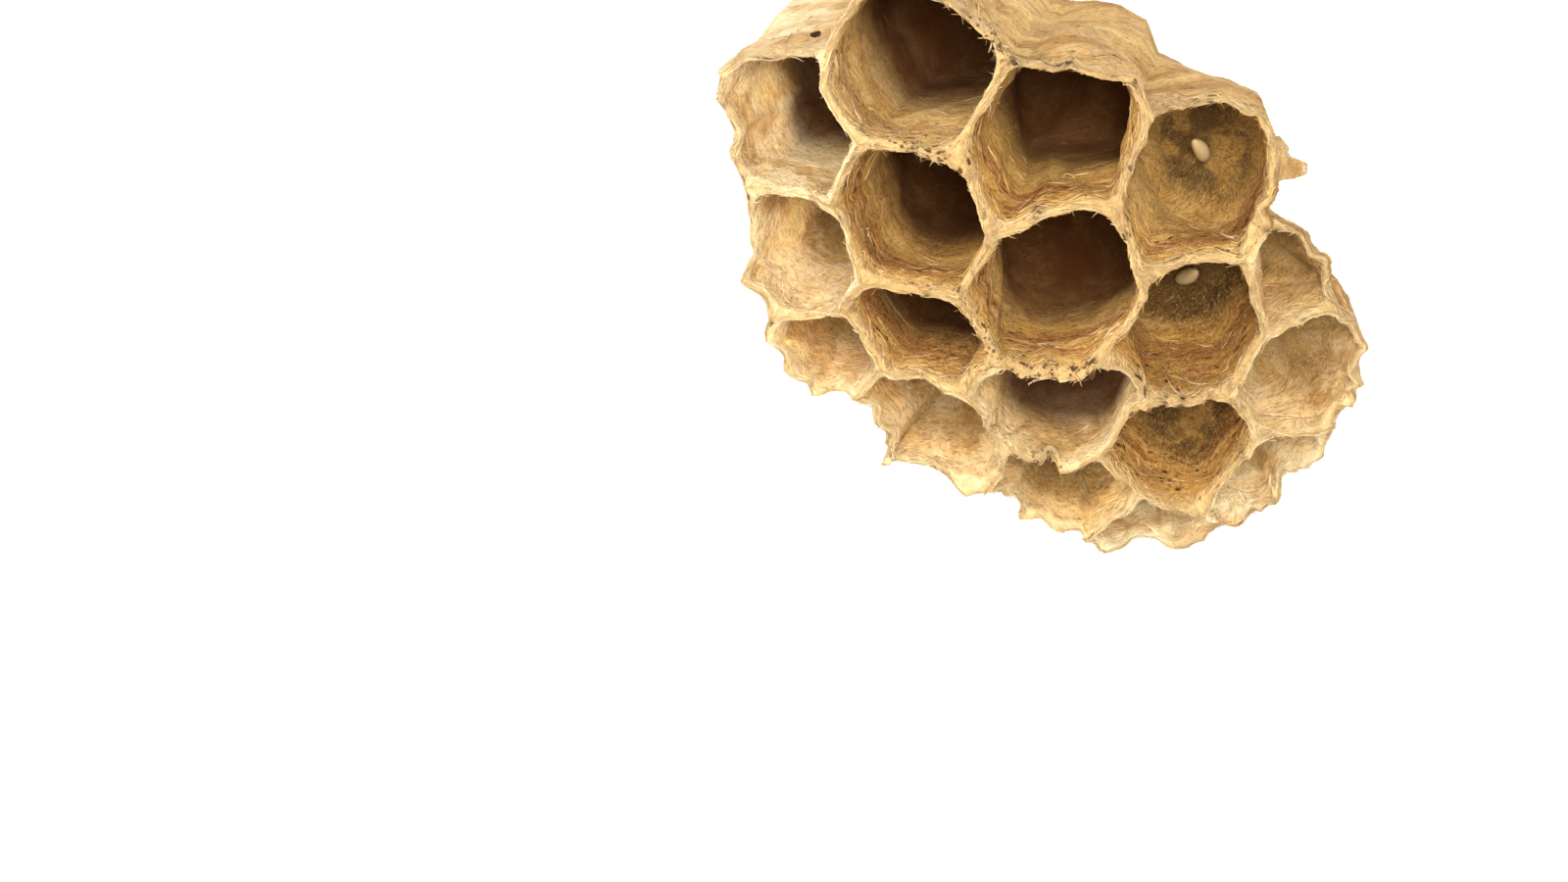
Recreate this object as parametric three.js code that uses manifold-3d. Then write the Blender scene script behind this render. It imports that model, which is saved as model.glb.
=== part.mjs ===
// A young paper wasp's nest: one open comb of wood-pulp cells on a short stalk, with two eggs.
// It lies on a table on the cut end of its stalk and on the lowest cells of the comb's margin,
// so that the mouths of the cells look up and to the front. Millimetres, +Z up, table at z = 0.
// The origin is the middle of the stalk's cut face. The stalk's axis runs from there away from DOME.

import * as THREE from "three";
import { mergeVertices } from "three/addons/utils/BufferGeometryUtils.js";
import Module from "manifold-3d";

const wasm = await Module();
wasm.setup();

// ---- Driving dimensions -------------------------------------------------------------------

// The rims and the back of the comb are domed. Both are measured from this point.
const DOME = new THREE.Vector3(2.3, 7.8, -23.3);

// The cells lean over and fan out: the walls and the cells' axes run towards this point.
const FOCUS = new THREE.Vector3(8.0, 7.8, -23.3);

const WALL = 0.42; // thickness of a paper wall
const FLOOR = 0.5; // thickness of the paper at the bottom of a cell
const RIM_SAG = 0.12; // how far a rim dips between two corners
const FLOOR_FILLET = 0.6; // height over which a wall turns into the floor
const MOUTH_ROUNDING = 1.1; // largest distance of a wall from its cell's axis, over the mean
const SAMPLE_STEP = 1.0; // spacing of the points along a rim

// The back of the comb is a blunt cone. These are distances from DOME.
const BACK_AT_STALK = 30.3;
const BACK_AT_MARGIN = 33.3;
const BACK_SPREAD = 6.0; // distance from the stalk over which the back slopes up
const LEAST_DEPTH = 1.7; // of a cell on the margin
const BACK_BULGE = 0.25; // how far the bottom of each cell swells out
const BACK_PASSES = 12;

const STALK_WAIST = 0.8; // radius
const STALK_HEAD = 1.7; // radius where the stalk spreads over the comb's back
const STALK_FOOT = 2.6; // radius where it spreads over what it was built on
const STALK_SINK = 0.3; // how far its head goes into the comb's back
const STALK_FOOT_FLARE = 0.75; // heights over which foot and head narrow to the waist
const STALK_HEAD_FLARE = 0.6;
const STALK_STEPS = 14;
const STALK_SIDES = 20;

const EGG_LENGTH = 1.3;
const EGG_WIDTH = 0.5;
const EGG_GAP = 0.12; // between an egg and the floor of its cell
const EGG_LEAN = 0.9; // radians away from the cell's axis

// Corners of the rims: where each stands on the table plan, and how far from DOME its rim is.
// Inner corners are named by the three cells that meet there.
const CORNERS = {
  // tall cells in the middle
  abTop: [0.4, -2.3, 40.0],
  aob: [-1.0, -5.4, 40.4],
  boc: [0.1, -7.8, 40.2],
  bcBow: [1.2, -7.3, 40.0],
  bec: [3.9, -7.1, 39.6],
  beTop: [4.8, -4.0, 39.2],
  alTop: [-5.3, -2.0, 39.2],
  alBow: [-5.3, -3.3, 39.5],
  alo: [-4.3, -5.3, 39.8],
  lmo: [-5.0, -7.0, 38.8],
  mon: [-4.0, -9.7, 38.6],
  mns: [-4.7, -10.4, 37.8],
  njs: [-3.4, -12.3, 37.6],
  cno: [-0.9, -10.0, 39.6],
  cdn: [-0.1, -12.1, 38.8],
  cdBow1: [1.4, -12.4, 38.8],
  cdBow2: [2.3, -12.5, 38.9],
  cdBow3: [3.0, -12.3, 39.0],
  cdf: [3.6, -11.9, 39.0],
  cfBow1: [4.8, -10.0, 39.1],
  cfBow2: [4.4, -11.1, 39.0],
  cef: [4.7, -9.0, 39.2],
  djn: [-0.6, -12.9, 38.2],
  djk: [0.3, -14.7, 37.4],
  dkSag: [1.6, -15.2, 37.2],
  dkSwell: [2.4, -15.3, 37.2],
  dgk: [3.7, -14.9, 37.2],
  dfg: [4.8, -13.1, 37.8],
  efi: [8.1, -8.6, 37.4],
  fhi: [8.8, -11.1, 37.0],
  fgh: [7.7, -12.9, 37.2],
  ghq: [8.6, -14.4, 36.4],
  gpq: [7.3, -16.9, 36.2],
  gkp: [4.7, -16.3, 36.6],
  // outline of A and B
  a1: [-4.9, -1.1, 39.3],
  a2: [-4.3, -0.3, 39.4],
  a3: [-3.3, 0.2, 39.5],
  a4: [-2.2, -0.1, 39.6],
  a5: [-1.1, -0.6, 39.7],
  a6: [-0.4, -1.5, 39.8],
  b1: [1.0, -2.4, 39.9],
  b2: [2.4, -2.3, 39.8],
  b3: [3.5, -2.5, 39.6],
  b4: [4.4, -3.0, 39.4],
  // outline of E, I, H and Q, down the right side
  e1: [6.0, -3.7, 38.4],
  e2: [7.3, -3.6, 38.0],
  e3: [8.4, -4.0, 37.7],
  e4: [9.1, -5.0, 37.4],
  e5: [9.3, -6.1, 37.2],
  e6: [9.0, -7.0, 37.0],
  ei: [8.6, -7.9, 36.8],
  i1: [9.1, -7.5, 35.6],
  i2: [10.1, -7.8, 35.2],
  i3: [10.6, -9.0, 35.2],
  ih: [11.5, -10.3, 35.8],
  h1: [12.0, -11.3, 35.6],
  h2: [12.2, -12.6, 35.5],
  h3: [11.9, -13.2, 35.4],
  hq: [11.2, -13.9, 35.4],
  q1: [10.8, -14.9, 35.4],
  q2: [9.4, -16.2, 35.3],
  q3: [8.9, -16.8, 35.4],
  pq: [7.5, -17.2, 35.4],
  // outline of P, K and J, along the bottom
  p1: [7.0, -17.7, 35.4],
  p2: [5.0, -17.9, 35.4],
  p3: [3.9, -18.2, 35.5],
  kp: [3.5, -17.4, 35.5],
  k1: [3.1, -17.0, 34.9],
  k2: [1.3, -17.0, 34.7],
  k3: [0.7, -16.3, 35.0],
  jk: [0.2, -15.6, 35.6],
  j1: [-0.5, -15.7, 35.6],
  j2: [-1.5, -15.5, 35.6],
  j3: [-2.6, -15.1, 35.6],
  j4: [-3.4, -15.2, 35.6],
  j5: [-3.3, -14.5, 35.8],
  js: [-4.3, -13.2, 36.4],
  // outline of S, M and L, up the left side
  s1: [-5.5, -12.8, 36.4],
  s2: [-6.5, -12.0, 36.6],
  s3: [-7.0, -11.2, 36.8],
  ms: [-7.3, -10.3, 37.0],
  m1: [-7.7, -9.2, 37.2],
  m2: [-7.6, -7.9, 37.4],
  lm: [-7.7, -6.3, 37.6],
  l1: [-8.2, -5.4, 37.8],
  l2: [-8.3, -4.4, 38.0],
  l3: [-8.6, -3.5, 38.2],
  l4: [-8.5, -2.8, 38.4],
  l5: [-7.9, -2.5, 38.6],
  l6: [-6.6, -2.2, 38.9],
};

// Walls on the outline that lean another way: how far from FOCUS, to the right and to the back,
// the point is that they run towards.
const LEANS = {
  l3: [-2, 2],
  l4: [-4, 5],
  l5: [-5, 6],
  l6: [-5, 6],
  alTop: [-4, 5],
  a1: [-4, 5],
  a2: [-3, 4],
  a3: [-2, 3],
  e1: [0, -3],
  e2: [0, -5],
  e3: [0, -5],
  e4: [0, -4],
  e5: [0, -2],
  e6: [0, -2],
  ei: [0, -3],
  i1: [1, -10],
  i2: [2, -12],
  i3: [2, -10],
  ih: [1, -6],
  h1: [1, -4],
};

// Each cell's corners in order, counter-clockwise from above.
const CELLS = {
  A: ["abTop", "a6", "a5", "a4", "a3", "a2", "a1", "alTop", "alBow", "alo", "aob"],
  B: ["abTop", "aob", "boc", "bcBow", "bec", "beTop", "b4", "b3", "b2", "b1"],
  C: ["boc", "cno", "cdn", "cdBow1", "cdBow2", "cdBow3", "cdf", "cfBow2", "cfBow1", "cef", "bec", "bcBow"],
  D: ["cdn", "djn", "djk", "dkSag", "dkSwell", "dgk", "dfg", "cdf", "cdBow3", "cdBow2", "cdBow1"],
  E: ["beTop", "bec", "cef", "efi", "ei", "e6", "e5", "e4", "e3", "e2", "e1"],
  F: ["cef", "cfBow1", "cfBow2", "cdf", "dfg", "fgh", "fhi", "efi"],
  G: ["dfg", "dgk", "gkp", "gpq", "ghq", "fgh"],
  H: ["fgh", "ghq", "hq", "h3", "h2", "h1", "ih", "fhi"],
  I: ["efi", "fhi", "ih", "i3", "i2", "i1", "ei"],
  J: ["djn", "njs", "js", "j5", "j4", "j3", "j2", "j1", "jk", "djk"],
  K: ["djk", "jk", "k3", "k2", "k1", "kp", "gkp", "dgk", "dkSwell", "dkSag"],
  L: ["alTop", "l6", "l5", "l4", "l3", "l2", "l1", "lm", "lmo", "alo", "alBow"],
  M: ["lmo", "lm", "m2", "m1", "ms", "mns", "mon"],
  N: ["mon", "mns", "njs", "djn", "cdn", "cno"],
  O: ["aob", "alo", "lmo", "mon", "cno", "boc"],
  P: ["gkp", "kp", "p3", "p2", "p1", "pq", "gpq"],
  Q: ["ghq", "gpq", "pq", "q3", "q2", "q1", "hq"],
  S: ["mns", "ms", "s3", "s2", "s1", "js", "njs"],
};

// ---- Materials ----------------------------------------------------------------------------

const paper = new THREE.MeshStandardMaterial({ color: 0xd3b27a, roughness: 0.92, metalness: 0 });
const eggShell = new THREE.MeshStandardMaterial({ color: 0xf0e6cf, roughness: 0.35, metalness: 0 });

// ---- Directions and levels ----------------------------------------------------------------

const stalkAxis = DOME.clone().negate().normalize();

function cornerPoint(name) {
  const [x, y, reach] = CORNERS[name];
  const dx = x - DOME.x;
  const dy = y - DOME.y;
  return new THREE.Vector3(x, y, DOME.z + Math.sqrt(reach * reach - dx * dx - dy * dy));
}

// How far the back of the comb is from DOME where it is seen from there in this direction.
function backHeight(direction) {
  const arc = direction.angleTo(stalkAxis) * BACK_AT_MARGIN;
  const rise = 1 - Math.exp(-((arc / BACK_SPREAD) ** 2));
  return BACK_AT_STALK + (BACK_AT_MARGIN - BACK_AT_STALK) * rise;
}

// Follows a wall down from its rim until it meets the back, and says how far that is.
function wallDepth(rimPoint, direction) {
  const highest = rimPoint.distanceTo(DOME) - LEAST_DEPTH;
  const foot = rimPoint.clone();
  for (let pass = 0; pass < BACK_PASSES; pass += 1) {
    const offset = foot.clone().sub(DOME);
    const excess = offset.length() - Math.min(backHeight(offset), highest);
    foot.addScaledVector(direction, -excess);
  }
  return foot.distanceTo(rimPoint);
}

function pointBelow(station, depth) {
  return station.rim.clone().addScaledVector(station.direction, -depth);
}

// Paper that would reach below the table is pressed flat on it.
function pressed(point, lowest = 0) {
  point.z = Math.max(point.z, lowest);
  return point;
}

// ---- Rims: points along each edge, shared by the cells on its two sides --------------------

function edgeKey(from, to) {
  return [from, to].sort().join(" ");
}

const cellsAtEdge = {};
for (const corners of Object.values(CELLS)) {
  corners.forEach((from, i) => {
    const key = edgeKey(from, corners[(i + 1) % corners.length]);
    cellsAtEdge[key] = (cellsAtEdge[key] ?? 0) + 1;
  });
}

function isOutline(from, to) {
  return cellsAtEdge[edgeKey(from, to)] === 1;
}

function leanOf(name) {
  const [x, y] = LEANS[name] ?? [0, 0];
  return new THREE.Vector3(x, y, 0);
}

function makeStation(rim, lean) {
  const direction = rim.clone().sub(FOCUS).sub(lean).normalize();
  return { rim, direction, depth: wallDepth(rim, direction) };
}

const stationsAtCorner = {};
for (const name of Object.keys(CORNERS)) {
  stationsAtCorner[name] = makeStation(cornerPoint(name), leanOf(name));
}

const stationsAlongEdge = {};
for (const key of Object.keys(cellsAtEdge)) {
  const [first, second] = key.split(" ");
  const start = cornerPoint(first);
  const end = cornerPoint(second);
  const steps = Math.max(1, Math.round(start.distanceTo(end) / SAMPLE_STEP));
  stationsAlongEdge[key] = [];
  for (let step = 1; step < steps; step += 1) {
    const share = step / steps;
    const point = start.clone().lerp(end, share);
    const inward = FOCUS.clone().sub(point).normalize();
    point.addScaledVector(inward, RIM_SAG * 4 * share * (1 - share));
    stationsAlongEdge[key].push(makeStation(point, leanOf(first).lerp(leanOf(second), share)));
  }
}

// The stations of one edge, its first corner included and its last left out.
function edgeStations(from, to) {
  const key = edgeKey(from, to);
  const between = [...stationsAlongEdge[key]];
  if (key.split(" ")[0] !== from) {
    between.reverse();
  }
  return [stationsAtCorner[from], ...between];
}

// ---- Mesh building ------------------------------------------------------------------------

const positions = [];

function triangle(a, b, c) {
  positions.push(a.x, a.y, a.z, b.x, b.y, b.z, c.x, c.y, c.z);
}

// A strip between two rows of points, seen from outside with low below high, from left to right.
function strip(low, high, closed) {
  const last = closed ? low.length : low.length - 1;
  for (let i = 0; i < last; i += 1) {
    const next = (i + 1) % low.length;
    triangle(low[i], low[next], high[next]);
    triangle(low[i], high[next], high[i]);
  }
}

function fan(ring, centre) {
  ring.forEach((point, i) => triangle(point, ring[(i + 1) % ring.length], centre));
}

function mean(numbers) {
  return numbers.reduce((sum, value) => sum + value, 0) / numbers.length;
}

function meanPoint(points) {
  const sum = points.reduce((total, point) => total.add(point), new THREE.Vector3());
  return sum.divideScalar(points.length);
}

// One cell's stations, each with the share of the wall's thickness that lies on this side of it.
function cellLoop(corners) {
  const loop = [];
  corners.forEach((from, i) => {
    const to = corners[(i + 1) % corners.length];
    const before = corners.at(i - 1);
    const side = isOutline(from, to) ? 1 : 0.5;
    const sideBefore = isOutline(before, from) ? 1 : 0.5;
    edgeStations(from, to).forEach((station, k) => {
      loop.push({ ...station, side: k === 0 ? (side + sideBefore) / 2 : side });
    });
  });
  return loop;
}

// The inner face of a cell at one level: the wall's middle line, moved in and rounded.
function innerRing(loop, depths, spread) {
  const middle = loop.map((station, i) => pointBelow(station, depths[i]));
  const axis = meanPoint(middle);
  const distances = middle.map((point) => point.distanceTo(axis));
  const roundest = MOUTH_ROUNDING * mean(distances);
  return middle.map((point, i) => {
    const inset = distances[i] - WALL * loop[i].side;
    const share = (Math.min(inset, roundest) * spread) / distances[i];
    return axis.clone().lerp(point, share);
  });
}

function addCell(corners) {
  const loop = cellLoop(corners);
  const rim = loop.map((station) => station.rim);
  const level = (share, lift) => loop.map(({ depth }) => (depth - FLOOR - lift) * share);
  const mouth = innerRing(loop, level(0, 0), 1);
  const waist = innerRing(loop, level(0.5, 0), 1);
  const heel = innerRing(loop, level(1, FLOOR_FILLET), 0.97);
  const floorRing = innerRing(loop, level(1, 0.08), 0.62);
  const lowest = FLOOR;
  [waist, heel, floorRing].forEach((ring) => ring.forEach((point) => pressed(point, lowest)));
  strip(rim, mouth, true);
  strip(mouth, waist, true);
  strip(waist, heel, true);
  strip(heel, floorRing, true);
  const floorCentre = pressed(meanPoint(innerRing(loop, level(1, -BACK_BULGE), 0.2)), lowest);
  fan(floorRing, floorCentre);

  const back = loop.map((station) => pressed(pointBelow(station, station.depth)));
  const backCentre = meanPoint(back);
  const outward = FOCUS.clone().sub(backCentre).normalize();
  backCentre.addScaledVector(outward, BACK_BULGE);
  fan([...back].reverse(), pressed(backCentre));
}

function addOutline(from, to) {
  const stations = [...edgeStations(from, to), stationsAtCorner[to]];
  const rim = stations.map((station) => station.rim);
  const halfway = stations.map((station) => pointBelow(station, station.depth / 2));
  const back = stations.map((station) => pressed(pointBelow(station, station.depth)));
  strip(back, halfway, false);
  strip(halfway, rim, false);
}

function combGeometry() {
  for (const corners of Object.values(CELLS)) {
    addCell(corners);
    corners.forEach((from, i) => {
      const to = corners[(i + 1) % corners.length];
      if (isOutline(from, to)) {
        addOutline(from, to);
      }
    });
  }
  const geometry = new THREE.BufferGeometry();
  geometry.setAttribute("position", new THREE.Float32BufferAttribute(positions, 3));
  return geometry;
}

// ---- The stalk ----------------------------------------------------------------------------

// Turned like a vase, then bent: level where it meets the table, square to its axis at the comb.
function stalkGeometry() {
  const height = BACK_AT_STALK + STALK_SINK - DOME.length();
  const profile = [new THREE.Vector2(0, 0)];
  for (let step = 0; step <= STALK_STEPS; step += 1) {
    const along = (height * step) / STALK_STEPS;
    const foot = (STALK_FOOT - STALK_WAIST) * Math.exp(-along / STALK_FOOT_FLARE);
    const head = (STALK_HEAD - STALK_WAIST) * Math.exp((along - height) / STALK_HEAD_FLARE);
    profile.push(new THREE.Vector2(STALK_WAIST + foot + head, along));
  }
  profile.push(new THREE.Vector2(0, height));
  const geometry = new THREE.LatheGeometry(profile, STALK_SIDES);
  const turned = new THREE.Vector3(0, 1, 0);
  const level = new THREE.Quaternion().setFromUnitVectors(turned, new THREE.Vector3(0, 0, 1));
  const leaning = new THREE.Quaternion().setFromUnitVectors(turned, stalkAxis);
  const points = geometry.attributes.position;
  for (let i = 0; i < points.count; i += 1) {
    const along = points.getY(i);
    const bend = level.clone().slerp(leaning, Math.min(1, (2 * along) / height));
    const point = new THREE.Vector3(points.getX(i), 0, points.getZ(i)).applyQuaternion(bend);
    point.addScaledVector(stalkAxis, along);
    points.setXYZ(i, point.x, point.y, point.z);
  }
  return geometry;
}

function toSolid(geometry) {
  geometry.deleteAttribute("normal");
  geometry.deleteAttribute("uv");
  const merged = mergeVertices(geometry, 1e-4);
  const mesh = new wasm.Mesh({
    numProp: 3,
    vertProperties: new Float32Array(merged.attributes.position.array),
    triVerts: new Uint32Array(merged.index.array),
  });
  return new wasm.Manifold(mesh);
}

function toGeometry(solid) {
  const mesh = solid.getMesh();
  const geometry = new THREE.BufferGeometry();
  geometry.setAttribute("position", new THREE.BufferAttribute(mesh.vertProperties, 3));
  geometry.setIndex(new THREE.BufferAttribute(mesh.triVerts, 1));
  geometry.computeVertexNormals();
  return geometry;
}

function makeNest() {
  const nest = toSolid(combGeometry()).add(toSolid(stalkGeometry()));
  const mesh = new THREE.Mesh(toGeometry(nest), paper);
  mesh.name = "nest";
  return mesh;
}

// ---- The eggs -----------------------------------------------------------------------------

// Each egg is stuck by one end to the floor of a shallow cell and leans over in it.
function makeEgg(name, cell, bearing) {
  const loop = cellLoop(CELLS[cell]);
  const floor = meanPoint(loop.map((station) => pointBelow(station, station.depth - FLOOR)));
  const up = floor.clone().sub(FOCUS).normalize();
  const side = new THREE.Vector3(Math.cos(bearing), Math.sin(bearing), 0);
  side.addScaledVector(up, -side.dot(up)).normalize();
  const along = up.clone().multiplyScalar(Math.cos(EGG_LEAN));
  along.addScaledVector(side, Math.sin(EGG_LEAN));
  const geometry = new THREE.SphereGeometry(EGG_WIDTH / 2, 12, 10);
  geometry.scale(1, EGG_LENGTH / EGG_WIDTH, 1);
  const mesh = new THREE.Mesh(geometry, eggShell);
  mesh.name = name;
  mesh.quaternion.setFromUnitVectors(new THREE.Vector3(0, 1, 0), along);
  const height = EGG_GAP + (EGG_LENGTH / 2) * Math.cos(EGG_LEAN) + (EGG_WIDTH / 2) * Math.sin(EGG_LEAN);
  mesh.position.copy(floor).addScaledVector(up, height);
  return mesh;
}

// ---- The assembly -------------------------------------------------------------------------

const group = new THREE.Group();
group.add(makeNest());
group.add(makeEgg("egg_upper", "E", Math.PI * 0.6));
group.add(makeEgg("egg_lower", "F", Math.PI * 0.3));

export default group;
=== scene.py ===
"""A young paper wasp's nest: an open comb of wood-pulp cells on a dark stalk, laid on a white table."""

import math

import bmesh
import bpy
import numpy as np
from mathutils import Matrix, Quaternion, Vector


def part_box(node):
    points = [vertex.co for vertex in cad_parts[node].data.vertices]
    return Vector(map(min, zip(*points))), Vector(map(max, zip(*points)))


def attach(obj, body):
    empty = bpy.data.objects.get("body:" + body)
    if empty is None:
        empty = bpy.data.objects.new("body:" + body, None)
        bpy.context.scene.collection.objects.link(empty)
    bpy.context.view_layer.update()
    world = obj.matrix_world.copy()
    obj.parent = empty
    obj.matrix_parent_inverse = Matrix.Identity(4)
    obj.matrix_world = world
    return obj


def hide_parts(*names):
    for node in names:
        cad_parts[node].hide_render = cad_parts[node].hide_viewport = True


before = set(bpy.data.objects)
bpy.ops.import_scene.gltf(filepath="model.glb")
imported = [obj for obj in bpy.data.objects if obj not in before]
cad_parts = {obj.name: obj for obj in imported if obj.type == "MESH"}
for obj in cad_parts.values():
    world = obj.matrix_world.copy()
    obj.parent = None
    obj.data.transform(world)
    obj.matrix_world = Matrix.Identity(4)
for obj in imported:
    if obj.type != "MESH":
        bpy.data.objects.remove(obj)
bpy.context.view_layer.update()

bl_info = {
    "name": "Paper Wasp Nest",
    "version": (1, 0, 0),
    "blender": (4, 5, 0),
    "location": "3D View > Sidebar > Wasp Nest",
    "description": "Builds a young paper wasp's nest and the table it lies on",
    "category": "Object",
}

MM = 0.001

# ---- The comb's plan, in millimetres -------------------------------------------------------

# The rims and the back of the comb are domed. Both are measured from this point.
DOME = np.array([2.3, 7.8, -23.3])
STALK_AXIS = -DOME / np.linalg.norm(DOME)

# The cells lean over and fan out: the walls and the cells' axes run towards this point.
FOCUS = np.array([8.0, 7.8, -23.3])
MEAN_REACH = 38.0  # typical distance of a rim from FOCUS

RIM_SAG = 0.12  # how far a rim dips between two corners
MOUTH_ROUNDING = 1.02  # largest distance of a wall from its cell's axis, over the mean
CORNER_SOFTNESS = 0.45  # distance over which a wall turns into that rounding
FLOOR = 0.45  # thickness of the paper at the bottom of a cell
FLOOR_SAG = 0.12  # how far a floor's middle lies below its edge
FLOOR_ANGLE = 1.2  # radians of the turn into the floor, from which the paper looks like floor
FILLET_SHARE = 0.8  # of a shallow cell's depth, over which its wall turns into the floor
FILLET_ROOM = 0.75  # of a cell's inner radius, the most that this turn takes
SHALLOW = 2.0  # depth from which that turn grows no more
FLARE = 0.1  # how far the low rims of the margin stand out, on average
FLARE_RIMS = (38.6, 36.6)  # distances from DOME of the rims that flare least and most
FLARE_HEIGHT = 0.5  # distance below the rim in which a flared wall turns upright
FRAY_HEIGHT = 0.55  # distance below the rim in which the fray dies out

# The comb's back: its distance from DOME at the stalk and at the margin.
BACK_AT_STALK = 30.3
BACK_AT_MARGIN = 33.3
BACK_SPREAD = 6.0  # distance from the stalk in which the one goes over into the other
BACK_PASSES = 12  # steps in which a wall's foot is brought to the back
BACK_BULGE = 0.3  # how far the back swells behind a cell
BACK_TURN = 2.5  # how soon the back's strips stop following the wall's foot, and go round
BACK_DULL = 0.4  # how much of the floor's look the back has
LEAST_DEPTH = 1.7  # of the back below a rim
OUTWARD_REACH = 0.7  # how far an inner wall still follows the outer wall that it meets

# Unevenness: how much, the length of its swells, and its seed.
WALL_UNEVEN = ((0.2, 1.1, 5), (0.12, 3.1, 6))  # of a wall's thickness
FLARE_UNEVEN = ((0.14, 2.2, 14), (0.05, 0.9, 15))
RIM_UNEVEN = ((0.05, 1.1, 16),)  # of every outer rim, to the side
FRAY_UNEVEN = ((1.0, 2.0, 11),)
RAGGED_UNEVEN = ((0.9, 0.8, 12),)  # added to the fray in ragged places
RAGGED_PLACES = ((1.0, 3.0, 13),)
FLAP_UNEVEN = ((0.25, 1.4, 41),)
STRIP_RELIEF = ((1.0, 0.6, 31),)
FIBRE_RELIEF = ((0.7, 0.3, 32),)
SWAY = ((1.0, 4.6), (0.22, 1.5))  # how much of the walls' sway, and the length of its swells
SWAY_SEEDS = (20, 21, 22)

# Corners of the rims: place on the table plan, and distance of the rim from DOME.
CORNERS = {
    "abTop": (0.4, -2.3, 40.0), "aob": (-1.0, -5.4, 40.4), "boc": (0.1, -7.8, 40.2),
    "bcBow": (1.2, -7.3, 40.0), "bec": (3.9, -7.1, 39.6), "beTop": (4.8, -4.0, 39.2),
    "alTop": (-5.3, -2.0, 39.2), "alBow": (-5.3, -3.3, 39.5), "alo": (-4.3, -5.3, 39.8),
    "lmo": (-5.0, -7.0, 38.8), "mon": (-4.0, -9.7, 38.6), "mns": (-4.7, -10.4, 37.8),
    "njs": (-3.4, -12.3, 37.6), "cno": (-0.9, -10.0, 39.6), "cdn": (-0.1, -12.1, 38.8),
    "cdBow1": (1.4, -12.4, 38.8), "cdBow2": (2.3, -12.5, 38.9), "cdBow3": (3.0, -12.3, 39.0),
    "cdf": (3.6, -11.9, 39.0), "cfBow1": (4.8, -10.0, 39.1), "cfBow2": (4.4, -11.1, 39.0),
    "cef": (4.7, -9.0, 39.2), "djn": (-0.6, -12.9, 38.2), "djk": (0.3, -14.7, 37.4),
    "dkSag": (1.6, -15.2, 37.2), "dkSwell": (2.4, -15.3, 37.2), "dgk": (3.7, -14.9, 37.2),
    "dfg": (4.8, -13.1, 37.8), "efi": (8.1, -8.6, 37.4), "fhi": (8.8, -11.1, 37.0),
    "fgh": (7.7, -12.9, 37.2), "ghq": (8.6, -14.4, 36.4), "gpq": (7.3, -16.9, 36.2),
    "gkp": (4.7, -16.3, 36.6), "a1": (-4.9, -1.1, 39.3), "a2": (-4.3, -0.3, 39.4),
    "a3": (-3.3, 0.2, 39.5), "a4": (-2.2, -0.1, 39.6), "a5": (-1.1, -0.6, 39.7),
    "a6": (-0.4, -1.5, 39.8), "b1": (1.0, -2.4, 39.9), "b2": (2.4, -2.3, 39.8),
    "b3": (3.5, -2.5, 39.6), "b4": (4.4, -3.0, 39.4), "e1": (6.0, -3.7, 38.4),
    "e2": (7.3, -3.6, 38.0), "e3": (8.4, -4.0, 37.7), "e4": (9.1, -5.0, 37.4),
    "e5": (9.3, -6.1, 37.2), "e6": (9.0, -7.0, 37.0), "ei": (8.6, -7.9, 36.8),
    "i1": (9.1, -7.5, 35.6), "i2": (10.1, -7.8, 35.2), "i3": (10.6, -9.0, 35.2),
    "ih": (11.5, -10.3, 35.8), "h1": (12.0, -11.3, 35.6), "h2": (12.2, -12.6, 35.5),
    "h3": (11.9, -13.2, 35.4), "hq": (11.2, -13.9, 35.4), "q1": (10.8, -14.9, 35.4),
    "q2": (9.4, -16.2, 35.3), "q3": (8.9, -16.8, 35.4), "pq": (7.5, -17.2, 35.4),
    "p1": (7.0, -17.7, 35.4), "p2": (5.0, -17.9, 35.4), "p3": (3.9, -18.2, 35.5),
    "kp": (3.5, -17.4, 35.5), "k1": (3.1, -17.0, 34.9), "k2": (1.3, -17.0, 34.7),
    "k3": (0.7, -16.3, 35.0), "jk": (0.2, -15.6, 35.6), "j1": (-0.5, -15.7, 35.6),
    "j2": (-1.5, -15.5, 35.6), "j3": (-2.6, -15.1, 35.6), "j4": (-3.4, -15.2, 35.6),
    "j5": (-3.3, -14.5, 35.8), "js": (-4.3, -13.2, 36.4), "s1": (-5.5, -12.8, 36.4),
    "s2": (-6.5, -12.0, 36.6), "s3": (-7.0, -11.2, 36.8), "ms": (-7.3, -10.3, 37.0),
    "m1": (-7.7, -9.2, 37.2), "m2": (-7.6, -7.9, 37.4), "lm": (-7.7, -6.3, 37.6),
    "l1": (-8.2, -5.4, 37.8), "l2": (-8.3, -4.4, 38.0), "l3": (-8.6, -3.5, 38.2),
    "l4": (-8.5, -2.8, 38.4), "l5": (-7.9, -2.5, 38.6), "l6": (-6.6, -2.2, 38.9),
}

# Walls on the outline that lean another way: how far from FOCUS, to the right and to the back,
# the point is that they run towards.
LEANS = {
    "l3": (-2, 2), "l4": (-4, 5), "l5": (-5, 6), "l6": (-5, 6), "alTop": (-4, 5),
    "a1": (-4, 5), "a2": (-3, 4), "a3": (-2, 3), "e1": (0, -3), "e2": (0, -5),
    "e3": (0, -5), "e4": (0, -4), "e5": (0, -2), "e6": (0, -2), "ei": (0, -3),
    "i1": (1, -10), "i2": (2, -12), "i3": (2, -10), "ih": (1, -6), "h1": (1, -4),
}

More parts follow.
